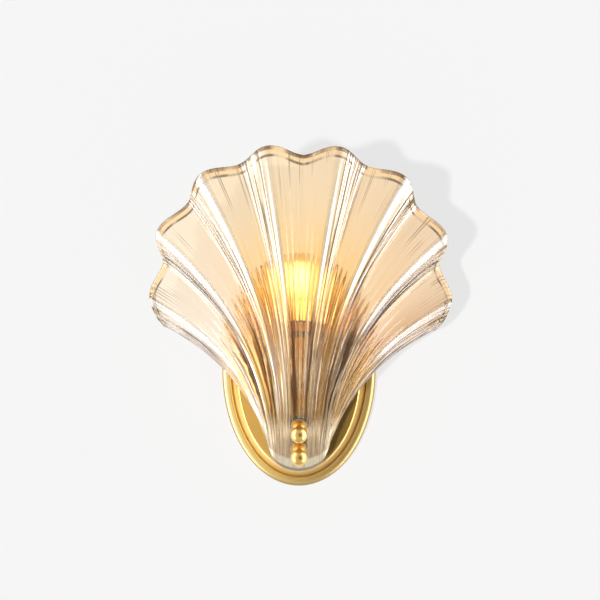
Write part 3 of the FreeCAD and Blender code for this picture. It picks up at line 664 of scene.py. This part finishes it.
# Painted lamplight in streaks over and under the lamp.
LAMPLIGHT_STREAK_TINT = (1.0, 0.56, 0.12)
LAMPLIGHT_STREAK_SHARE = 0.75
UNDER_LAMP_SHARES = (0.25, 0.85)
RIM_TINT = (0.99, 0.70, 0.40)
# Painted shade: the stem is darker in its middle and on its right.
STEM_MIDDLE_SHADE_TINT = (0.70, 0.43, 0.14)
STEM_MIDDLE_SHADE_SHARE = 0.45
STEM_RIGHT_SHADE_TINT = (0.72, 0.45, 0.14)
STEM_RIGHT_SHADE_SHARE = 0.5
FOOT_TINT = (1, 0.92, 0.70)
FOOT_TINT_SHARE = 0.80
SHADOW_TINT = (0.45, 0.45, 0.46)

# Gleam: a rough sheen on the ridges and on the stem's stripes.
GLEAM_ROUGHNESS = 0.40
RIDGE_GLEAM = 0.56
RIDGE_GLEAM_COLOUR = (1.0, 0.99, 0.98)
PALE_LINE_GLEAM = 0.8
TOP_CREST_GLEAM = 0.25
CREST_GLEAM_BY_PATCH = (0.75, 1.1)
# The stem's gleam is weighted to the left as painted light, and is less in its middle with its painted
# shade.
STEM_GLEAM_LIT_LEFT_TO_RIGHT = (1.45, 0.4, -0.4, 0.5)
STEM_MIDDLE_GLEAM = 0.5
UNDER_LAMP_GLEAM = 0.85
# Painted lamplight: the gleam is turned orange over the stem and under the lamp.
LAMPLIGHT_GLEAM_COLOUR = (1.0, 0.70, 0.27)
LAMPLIGHT_GLEAM_SHARE = 0.45
FOOT_GLEAM_BY_PATCH = (0.10, 0.52, 0.2, 0.8)
FOOT_BAND_GLEAM = 0.85
FOOT_GLEAM_COLOUR = (1.0, 0.94, 0.78)
FOOT_GLEAM_SHARE = 0.75

# Dark lines in the glass and round it: painted shade that stands in for refraction and the dark edges
# of glass. The riser lines grow towards the right as painted shade.
PAINTED_SHADE_COLOUR = (0.13, 0.06, 0.025)
# The riser lines grow towards the right: painted shade.
RISER_SHADE_LINES_LEFT_TO_RIGHT = (0.42, 0.75, 0.0, 0.8)
RIM_LINE = 0.55
RIM_LINE_BY_PATCH = (0.15, 1.0, 0.35, 0.65)
SEAM_LINES = 0.4
STRIPE_BORDER_LINES = 0.65
FOOT_LINES = 0.35
# The stem's dark lines grow towards the right: painted shade.
STEM_SHADE_LINES_LEFT_TO_RIGHT = (0.80, 1.45, -0.5, 0.4)
UNDER_LAMP_LINES = 0.6
EDGE_BREAKS = (0.20, 0.62)
EDGE_LINE = 0.65
GRAZING_COMES = (0.72, 0.97)
GRAZING_LINE = 0.75

# Relief: slow waves, the streaks, and crystal-like chips low on the right.
GLASS_ROUGHNESS = 0.02
GLASS_IOR = 1.5
WAVE_SCALE = (60, 60, 25)
WAVE_DETAIL = 2.0
STREAK_RELIEF = 0.3
CHIP_SCALE = 420.0
CHIP_RELIEF = 2.4
RELIEF_DEPTH = 0.0005

# Painted lamplight: a glow painted on the front of the shell where the ribs in front of the bulb
# would catch its light, an ellipse.
HALO_HALF_WIDTH = 0.040
HALO_HALF_HEIGHT = 0.028
HALO_HEIGHT = 0.062
HALO_COMES = (1.0, 0.2)
HALO_BY_STREAK = (0.0, 0.65, 0.36, 0.64)
HALO_COLOUR = (1.0, 0.66, 0.26)


def grey(level):
    return (level, level, level)


def shell_zones(nodes):
    """Sockets that say where a point of the shell lies: its place, its noises and its zones."""
    on_shell = nodes.add("ShaderNodeUVMap", uv_map=SURFACE_PLACES).outputs["UV"]
    across, along, _ = nodes.split(on_shell)
    off_centre = nodes.math("ABSOLUTE", across)
    fine = nodes.stretched_noise(STREAK_SCALE, STREAK_DETAIL, on_shell)
    fine = nodes.between(fine, 0.0, 1.0, *NOISE_REACH)
    patches = nodes.stretched_noise(PATCH_SCALE, PATCH_DETAIL, on_shell)
    patches = nodes.between(patches, 0.0, 1.0, *NOISE_REACH)
    on_pleat = nodes.math("MODULO", nodes.times(off_centre, PLEAT_COUNT), 2.0)
    by_v, by_u, by_side, by_pleat, streak = (
        {name: nodes.fade(value, ends) for name, ends in table.items()}
        for value, table in ((along, ALONG), (across, ACROSS), (off_centre, OFF_CENTRE),
                             (on_pleat, ON_PLEAT), (fine, STREAKS)))

    riser = nodes.times(by_pleat["riser_low"], by_pleat["riser_high"])
    rim_line = nodes.times(by_v["rim_line_low"], by_v["rim_line_high"],
                           nodes.between(patches, *RIM_LINE_BY_PATCH))
    under_lamp = nodes.times(by_v["under_lamp_low"], by_v["under_lamp_high"], by_side["under_lamp"])
    return SimpleNamespace(
        across=across, along=along, fine=fine, patches=patches,
        stem=by_v["stem"], foot=by_v["foot"], rim=by_v["rim"], rim_line=rim_line,
        crest=nodes.times(by_pleat["crest_low"], by_pleat["crest_high"]),
        top_middle=nodes.times(by_side["top_middle"], by_v["top"]),
        pale_line=nodes.times(riser, streak["pale"]),
        dark_line=nodes.times(riser, streak["dark"]),
        seam=nodes.times(streak["seam"], by_v["seams"]),
        near_lamp=nodes.times(by_v["near_lamp"], by_side["near_lamp"]),
        lamp_streak=nodes.times(by_v["over_lamp"], by_side["over_lamp"], streak["lamp"]),
        under_lamp=under_lamp,
        stem_middle=nodes.times(by_v["stem"], by_side["stem_middle"]),
        stem_right=nodes.times(by_v["stem"], by_u["stem_right"]),
        edge=nodes.most(by_v["rim_edge"], by_side["side_edge"]),
        foot_line=nodes.most(by_v["foot_line"], nodes.times(by_side["foot_side_line"], by_v["foot"])),
        foot_band=nodes.most(by_v["foot_band"], by_side["foot_side_band"]),
        chips=nodes.times(by_u["chips"], by_v["chips"]))


def stem_stripes(nodes, on):
    """Stripes of chance width and kind, with a thin dark border at some of them: painted refraction, the
    light and dark streaks that the fluted stem shows.
    """
    place = nodes.math("MULTIPLY_ADD", on.across, STRIPES_ACROSS / 2, nodes.times(on.patches, STRIPE_WANDER))
    cells = {"W": place, "Scale": 1.0}
    colour = nodes.add("ShaderNodeTexVoronoi", cells, voronoi_dimensions="1D").outputs["Color"]
    kind = nodes.add("ShaderNodeSeparateColor", {"Color": colour}).outputs
    border = nodes.add("ShaderNodeTexVoronoi", cells, voronoi_dimensions="1D", feature="DISTANCE_TO_EDGE")
    starts, tints, gleam_colours, gleams, darks = zip(*STEM_STRIPES)

    def by_kind(colours):
        return nodes.ramp(kind["Red"], list(zip(starts, colours)), "CONSTANT")

    return SimpleNamespace(
        tint=by_kind(tints),
        gleam_colour=by_kind(gleam_colours),
        gleam=by_kind(map(grey, gleams)),
        dark=by_kind(map(grey, darks)),
        border=nodes.times(nodes.fade(border.outputs["Distance"], STRIPE_BORDER),
                           nodes.fade(kind["Green"], STRIPES_WITH_BORDER)))


def glass_tint(nodes, on, stripes):
    """Colour of the clear glass: pale facets painted darker towards the right as painted shade, a painted
    lamp glow and painted lamplight streaks near the lamp, a stem striped with painted refraction and
    painted shade in its middle and right, and a clear foot.
    """
    # The facets' tint darkens towards the right: painted shade.
    tint = nodes.ramp(nodes.math("MULTIPLY_ADD", on.across, 0.5, 0.5), FACET_TINTS_AND_SHADE)
    at_top = nodes.between(on.along, 0.0, TOP_TINT_SHARE, *TOP_TINT_COMES)
    tint = nodes.mix_colour(at_top, tint, TOP_TINT)
    # Painted lamp glow near the bulb.
    tint = nodes.mix_colour(on.near_lamp, tint, LAMP_GLOW_TINT)
    tint = nodes.mix_colour(nodes.times(on.fine, STREAK_TINT_SHARE), tint, STREAK_TINT)
    # Painted lamplight in streaks over the lamp.
    tint = nodes.mix_colour(nodes.times(on.lamp_streak, LAMPLIGHT_STREAK_SHARE), tint, LAMPLIGHT_STREAK_TINT)
    tint = nodes.mix_colour(on.rim, tint, RIM_TINT)
    # The stem's stripes: painted refraction.
    tint = nodes.mix_colour(on.stem, tint, stripes.tint)
    # Painted shade: the stem is darker in its middle and on its right.
    tint = nodes.mix_colour(nodes.times(on.stem_middle, STEM_MIDDLE_SHADE_SHARE), tint, STEM_MIDDLE_SHADE_TINT)
    tint = nodes.mix_colour(nodes.times(on.stem_right, STEM_RIGHT_SHADE_SHARE), tint, STEM_RIGHT_SHADE_TINT)
    # Painted lamplight in streaks under the lamp.
    under_lamp = nodes.times(on.under_lamp, nodes.between(on.fine, *UNDER_LAMP_SHARES))
    tint = nodes.mix_colour(under_lamp, tint, LAMPLIGHT_STREAK_TINT)
    return nodes.mix_colour(nodes.times(on.foot, FOOT_TINT_SHARE), tint, FOOT_TINT)


def glass_relief(nodes, on):
    """The bump of the glass."""
    waves = nodes.stretched_noise(WAVE_SCALE, WAVE_DETAIL)
    relief = nodes.math("ADD", waves, nodes.times(on.fine, STREAK_RELIEF))
    crystals = nodes.times(nodes.noise(CHIP_SCALE, WAVE_DETAIL), nodes.times(on.chips, CHIP_RELIEF))
    return nodes.bump(nodes.math("ADD", relief, crystals), 1.0, RELIEF_DEPTH)


def glass_gleam(nodes, on, stripes):
    """How much of the surface gleams, and in what colour."""
    crest = nodes.times(on.crest, nodes.between(on.top_middle, 1.0, TOP_CREST_GLEAM),
                        nodes.between(on.patches, *CREST_GLEAM_BY_PATCH))
    on_fan = nodes.times(nodes.most(crest, nodes.times(on.pale_line, PALE_LINE_GLEAM)), RIDGE_GLEAM)
    # The stem gleams more on the left: painted light.
    on_stem = nodes.times(stripes.gleam, nodes.between(on.across, *STEM_GLEAM_LIT_LEFT_TO_RIGHT),
                          nodes.between(on.stem_middle, 1.0, STEM_MIDDLE_GLEAM),
                          nodes.between(on.under_lamp, 1.0, UNDER_LAMP_GLEAM))
    on_foot = nodes.most(nodes.between(on.patches, *FOOT_GLEAM_BY_PATCH),
                         nodes.times(on.foot_band, FOOT_BAND_GLEAM))
    on_stem = nodes.blend(on.foot, on_stem, on_foot)
    colour = nodes.mix_colour(on.stem, RIDGE_GLEAM_COLOUR, stripes.gleam_colour)
    # Painted lamplight: the gleam is turned orange over the stem and under the lamp.
    lamplit_gleam = nodes.most(on.stem_middle, on.stem_right, on.under_lamp)
    colour = nodes.mix_colour(nodes.times(lamplit_gleam, LAMPLIGHT_GLEAM_SHARE), colour, LAMPLIGHT_GLEAM_COLOUR)
    colour = nodes.mix_colour(nodes.times(on.foot, FOOT_GLEAM_SHARE), colour, FOOT_GLEAM_COLOUR)
    return nodes.blend(on.stem, on_fan, on_stem), colour


def glass_lines(nodes, on, stripes):
    """How much of the surface is painted shade: dark streaks on risers, rim and stem, and the outline,
    which stand in for refraction and the dark edges of glass.
    """
    # The riser lines grow towards the right: painted shade.
    on_fan = nodes.most(nodes.times(on.dark_line, nodes.between(on.across, *RISER_SHADE_LINES_LEFT_TO_RIGHT)),
                        nodes.times(on.rim_line, RIM_LINE),
                        nodes.times(on.seam, SEAM_LINES))
    # The stem's dark lines grow towards the right: painted shade.
    on_stem = nodes.times(nodes.most(stripes.dark, nodes.times(stripes.border, STRIPE_BORDER_LINES)),
                          nodes.between(on.foot, 1.0, FOOT_LINES),
                          nodes.between(on.across, *STEM_SHADE_LINES_LEFT_TO_RIGHT),
                          nodes.between(on.under_lamp, 1.0, UNDER_LAMP_LINES))
    # Painted shade: the glass darkens where it is seen edge-on.
    grazing = nodes.add("ShaderNodeLayerWeight", {"Blend": 0.5}).outputs["Facing"]
    edge = nodes.most(nodes.times(on.edge, nodes.fade(on.patches, EDGE_BREAKS)), on.foot_line)
    outline = nodes.most(nodes.times(nodes.fade(grazing, GRAZING_COMES), GRAZING_LINE),
                         nodes.times(edge, EDGE_LINE))
    return nodes.most(nodes.blend(on.stem, on_fan, on_stem), outline)


def lamp_halo(nodes, on):
    """How much painted lamplight shows: a glow painted on the glass. It is placed from the bulb's contact,
    which slides with the bulb but doesn't turn, so the halo goes where the bulb goes."""
    from_bulb = nodes.add("ShaderNodeTexCoord", object=frame["nodes"]["bulb_contact"]).outputs["Object"]
    x, _, z = nodes.split(from_bulb)
    away = nodes.length(nodes.math("DIVIDE", x, HALO_HALF_WIDTH),
                        nodes.math("DIVIDE", nodes.math("SUBTRACT", z, HALO_HEIGHT), HALO_HALF_HEIGHT))
    return nodes.times(nodes.fade(away, HALO_COMES), nodes.between(on.fine, *HALO_BY_STREAK))


def amber_glass():
    """Pressed champagne glass: pale facets, gleaming ridges and a deeper stem of many stripes. The
    stem's depth, its stripes and the dark lines are painted shade and refraction, and the glow near
    the bulb is painted lamplight.
    """
    material, nodes = new_material("amber_glass")
    on = shell_zones(nodes)
    stripes = stem_stripes(nodes, on)
    glass = nodes.principled(
        Base_Color=glass_tint(nodes, on, stripes),
        Roughness=GLASS_ROUGHNESS,
        IOR=GLASS_IOR,
        Transmission_Weight=1.0,
        Normal=glass_relief(nodes, on))
    gleam_share, gleam_colour = glass_gleam(nodes, on, stripes)
    gleam = nodes.shader("ShaderNodeBsdfGlossy", Color=gleam_colour, Roughness=GLEAM_ROUGHNESS)
    # Painted lamplight: the glass glows in front of the bulb.
    lamplight = nodes.shader("ShaderNodeEmission", Color=HALO_COLOUR, Strength=1.0)
    # Painted shade: a dark matt layer for the lines in and round the glass.
    dark = nodes.shader("ShaderNodeBsdfDiffuse", Color=PAINTED_SHADE_COLOUR)
    clear = nodes.shader("ShaderNodeBsdfTransparent", Color=SHADOW_TINT)
    path = nodes.add("ShaderNodeLightPath").outputs
    seen = nodes.mix_shader(gleam_share, glass, gleam)
    seen = nodes.mix_shader(lamp_halo(nodes, on), seen, lamplight)
    seen = nodes.mix_shader(glass_lines(nodes, on, stripes), seen, dark)
    straight = nodes.most(path["Is Shadow Ray"], path["Is Diffuse Ray"])
    nodes.output(nodes.mix_shader(straight, seen, clear))
    return material


# ---------------------------------------------------------------- the bulb and the list of finishes

BULB_MIDDLE = 7.0
BULB_EDGE = 1.0
BULB_EDGE_COMES = (0.02, 0.36)
BULB_DIMS = (0.080, 0.094)
BULB_TOP_SHARE = 0.25
BULB_GLOW_COLOURS = [(0.0, (1.0, 0.86, 0.58)), (0.35, (1.0, 0.72, 0.34)), (1.0, (1.0, 0.60, 0.24))]
BULB_COLOUR = (0.9, 0.86, 0.8)
BULB_ROUGHNESS = 0.5
FROST_SCALE = 900.0
FROST_DETAIL = 2.0
FROST_SPREAD = (0.9, 1.1)
FROST_BUMP = (0.2, 0.0001)


def frosted_bulb():
    """The lit globe: a hot middle, an amber edge, a dimmer top and a fine frost."""
    material, nodes = new_material("frosted_bulb")
    facing = nodes.add("ShaderNodeLayerWeight", {"Blend": 0.5}).outputs["Facing"]
    frost = nodes.noise(FROST_SCALE, FROST_DETAIL)
    _, _, height = nodes.split(nodes.place())
    nodes.output(nodes.principled(
        Base_Color=BULB_COLOUR,
        Roughness=BULB_ROUGHNESS,
        Emission_Color=nodes.ramp(facing, BULB_GLOW_COLOURS),
        Emission_Strength=nodes.times(nodes.between(facing, BULB_MIDDLE, BULB_EDGE, *BULB_EDGE_COMES),
                                      nodes.between(frost, *FROST_SPREAD),
                                      nodes.between(height, 1.0, BULB_TOP_SHARE, *BULB_DIMS)),
        Normal=nodes.bump(frost, *FROST_BUMP)))
    return material


# Slot: colour, dark colour, roughness, scale of the grain along each axis, strength of the grain.
METALS = {
    "polished_brass": ((0.88, 0.60, 0.21), (0.76, 0.48, 0.14), 0.30, (500, 500, 500), 0.12),
    "brass_hardware": ((0.85, 0.50, 0.16), (0.66, 0.36, 0.10), 0.34, (700, 700, 120), 0.3),
    "zinc_steel": ((0.72, 0.73, 0.74), (0.58, 0.59, 0.60), 0.32, (600, 600, 150), 0.3),
    "nickel_contact": ((0.70, 0.67, 0.62), (0.60, 0.57, 0.52), 0.28, (600, 600, 600), 0.2),
    "nickel_cap": ((0.74, 0.72, 0.68), (0.62, 0.60, 0.56), 0.24, (500, 500, 60), 0.2)}

# Slot: colour, roughness, scale of the mottle and, for the clear rubber, how clear it is.
PLAIN_FINISHES = {
    "black_plastic": ((0.022, 0.021, 0.020), 0.38, 300.0),
    "white_plastic": ((0.80, 0.78, 0.73), 0.42, 240.0),
    "clear_rubber": ((0.86, 0.83, 0.76), 0.45, 500.0, 0.6),
    "black_rubber": ((0.03, 0.03, 0.03), 0.62, 400.0),
    "brown_sleeving": ((0.15, 0.065, 0.03), 0.45, 500.0),
    "blue_sleeving": ((0.03, 0.10, 0.36), 0.45, 500.0)}


def slot_materials():
    """One finish for each of the record's material slots."""
    finishes = {"brass_satin": satin_brass()}
    finishes.update((slot, metal(slot, *values)) for slot, values in METALS.items())
    finishes.update((slot, plain(slot, *values)) for slot, values in PLAIN_FINISHES.items())
    finishes["amber_glass"] = amber_glass()
    finishes["frosted_bulb"] = frosted_bulb()
    return finishes


def dress(materials):
    """Gives every solid of the part the finish that its slot names."""
    for subpart in frame["record"]["subparts"]:
        node = frame["nodes"][subpart["node"]]
        material = materials[subpart["material_slot"]]
        if not node.material_slots:
            node.data.materials.append(material)
        for place in node.material_slots:
            place.material = material


# ---------------------------------------------------------------- wall and room

WALL_HALF_SIZE = 6.0
WALL_ALBEDO = 0.25
WALL_GRAIN_SCALE = 220.0
WALL_GRAIN_DETAIL = 2.0
WALL_GRAIN_BUMP = (0.05, 0.0002)
WALL_GLOW = 0.70

# What shiny and clear surfaces see of the wall: a bright round card behind the object, which dims
# towards its edge.
CARD_HEIGHT = 0.05
CARD_GLOW = 0.94
CARD_EDGE_GLOW = 0.12
CARD_COMES = (0.45, 0.27)

# The room: its tone behind the wall's edges, its even light on matt surfaces, and what shiny and clear
# surfaces see of it, as a band of zones from left (-1) to right (1) that gives way to one tone above
# and below.
ROOM_TONE = 0.922
ROOM_ON_MATT = 0.25
ROOM_IN_SHINE = 1.0
ROOM_ABOVE_AND_BELOW = (0.72, 0.69, 0.63)
ROOM_BAND_ENDS = (0.18, 0.50)
ROOM_ZONES = [
    (-1.0, (0.9, 0.9, 0.9)), (-0.80, (0.7, 0.7, 0.7)), (-0.58, (0.65, 0.62, 0.58)),
    (-0.40, (0.80, 0.77, 0.70)), (-0.18, (0.80, 0.76, 0.68)), (-0.06, (0.42, 0.33, 0.24)),
    (0.04, (0.06, 0.03, 0.012)), (0.12, (0.01, 0.006, 0.003)), (0.52, (0.01, 0.006, 0.003)),
    (0.60, (0.75, 0.72, 0.66)), (0.72, (0.65, 0.64, 0.62)), (0.82, (0.3, 0.3, 0.3)),
    (1.0, (0.9, 0.9, 0.9))]


def make_wall():
    """The wall: seen from the front only, so that a look from behind shows the object."""
    half = WALL_HALF_SIZE
    corners = [(-half, 0, -half), (half, 0, -half), (half, 0, half), (-half, 0, half)]
    mesh = bpy.data.meshes.new("wall")
    mesh.from_pydata(corners, [], [(0, 1, 2, 3)])
    wall = add_to_scene("wall", mesh)
    wall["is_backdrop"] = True
    material, nodes = new_material("wall_paint")
    grain = nodes.bump(nodes.noise(WALL_GRAIN_SCALE, WALL_GRAIN_DETAIL), *WALL_GRAIN_BUMP)
    paint = nodes.shader("ShaderNodeBsdfDiffuse", Color=grey(WALL_ALBEDO), Normal=grain)
    x, _, z = nodes.split(nodes.place())
    away = nodes.length(x, nodes.math("SUBTRACT", z, CARD_HEIGHT))
    card = nodes.math("MULTIPLY_ADD", nodes.fade(away, CARD_COMES),
                      CARD_GLOW - CARD_EDGE_GLOW, CARD_EDGE_GLOW)
    path = nodes.add("ShaderNodeLightPath").outputs
    shine = nodes.most(path["Is Glossy Ray"], path["Is Transmission Ray"])
    glow = nodes.shader("ShaderNodeEmission", Color=grey(1), Strength=nodes.blend(shine, WALL_GLOW, card))
    lit = nodes.add("ShaderNodeAddShader", {0: paint, 1: glow}).outputs["Shader"]
    clear = nodes.shader("ShaderNodeBsdfTransparent")
    behind = nodes.add("ShaderNodeNewGeometry").outputs["Backfacing"]
    nodes.output(nodes.mix_shader(behind, lit, clear))
    mesh.materials.append(material)


def make_world():
    """A pale room: even light on matt surfaces, and darker sides in what shines or is clear."""
    world = bpy.data.worlds.new("room")
    bpy.context.scene.world = world
    world.use_nodes = True
    nodes = Nodes(world.node_tree)
    x, _, z = nodes.split(nodes.add("ShaderNodeTexCoord").outputs["Generated"])
    across = nodes.between(x, 0.0, 1.0, -1.0, 1.0)
    band = nodes.ramp(across, [((place + 1) / 2, colour) for place, colour in ROOM_ZONES])
    off_band = nodes.fade(nodes.math("ABSOLUTE", z), ROOM_BAND_ENDS)
    room = nodes.mix_colour(off_band, band, ROOM_ABOVE_AND_BELOW)
    path = nodes.add("ShaderNodeLightPath").outputs
    shine = nodes.most(path["Is Glossy Ray"], path["Is Transmission Ray"])
    matt = nodes.shader("ShaderNodeBackground", Color=grey(1), Strength=ROOM_ON_MATT)
    shiny = nodes.shader("ShaderNodeBackground", Color=room, Strength=ROOM_IN_SHINE)
    backdrop = nodes.shader("ShaderNodeBackground", Color=grey(ROOM_TONE), Strength=1.0)
    seen = nodes.mix_shader(path["Is Camera Ray"], nodes.mix_shader(shine, matt, shiny), backdrop)
    nodes.add("ShaderNodeOutputWorld", {"Surface": seen})


# ---------------------------------------------------------------- lights and camera

SUN_PLACE = Vector((-0.32, -1.0, -0.11))
SUN_ENERGY = 2.1
SUN_ANGLE = math.radians(3)

SOFTBOX_REACH = 0.62
SOFTBOX_PLACE_Y = -0.20
SOFTBOX_HEIGHT = 0.05
SOFTBOX_SIZE = (0.38, 1.4)
SOFTBOX_BRIGHTNESS = 5.0

# Camera: level with the plate's centre, straight in front of it.
CAMERA_DISTANCE = 2.5
CAMERA_LENS = 191.3
CAMERA_SENSOR = 36.0
CAMERA_AIM = Vector((0.0008, 0.0, 0.0553))


def aim(thing, target):
    thing.rotation_mode = "QUATERNION"
    thing.rotation_quaternion = (target - thing.location).to_track_quat("-Z", "Y")


def make_sun():
    """Soft light from the left and a little below, for the wall's shadow."""
    light = bpy.data.lights.new("key", "SUN")
    light.energy = SUN_ENERGY
    light.angle = SUN_ANGLE
    sun = add_to_scene("key", light)
    sun.location = SUN_PLACE
    aim(sun, Vector((0, 0, 0)))
    sun.visible_glossy = False
    sun.visible_transmission = False


def make_softbox(name, x):
    """A tall softbox that only reflections show."""
    width, height = SOFTBOX_SIZE
    light = bpy.data.lights.new(name, "AREA")
    light.shape = "RECTANGLE"
    light.size = width
    light.size_y = height
    light.energy = SOFTBOX_BRIGHTNESS * math.pi * width * height
    softbox = add_to_scene(name, light)
    softbox.location = (x, SOFTBOX_PLACE_Y, SOFTBOX_HEIGHT)
    aim(softbox, Vector((0, SOFTBOX_PLACE_Y, SOFTBOX_HEIGHT)))
    softbox.visible_camera = False
    softbox.visible_diffuse = False
    softbox.visible_transmission = False


def make_camera():
    data = bpy.data.cameras.new("camera")
    data.lens = CAMERA_LENS
    data.sensor_width = CAMERA_SENSOR
    camera = add_to_scene("camera", data)
    camera.location = Vector((0, -CAMERA_DISTANCE, 0))
    aim(camera, CAMERA_AIM)
    bpy.context.scene.camera = camera


# ---------------------------------------------------------------- the scene

bpy.context.scene.view_settings.view_transform = "Standard"
materials = slot_materials()
dress(materials)
make_shell(materials["amber_glass"])
make_wall()
make_world()
make_sun()
make_softbox("left_softbox", -SOFTBOX_REACH)
make_softbox("right_softbox", SOFTBOX_REACH)
make_camera()

{"at_load": box_at_load, "at_end": box_now()}
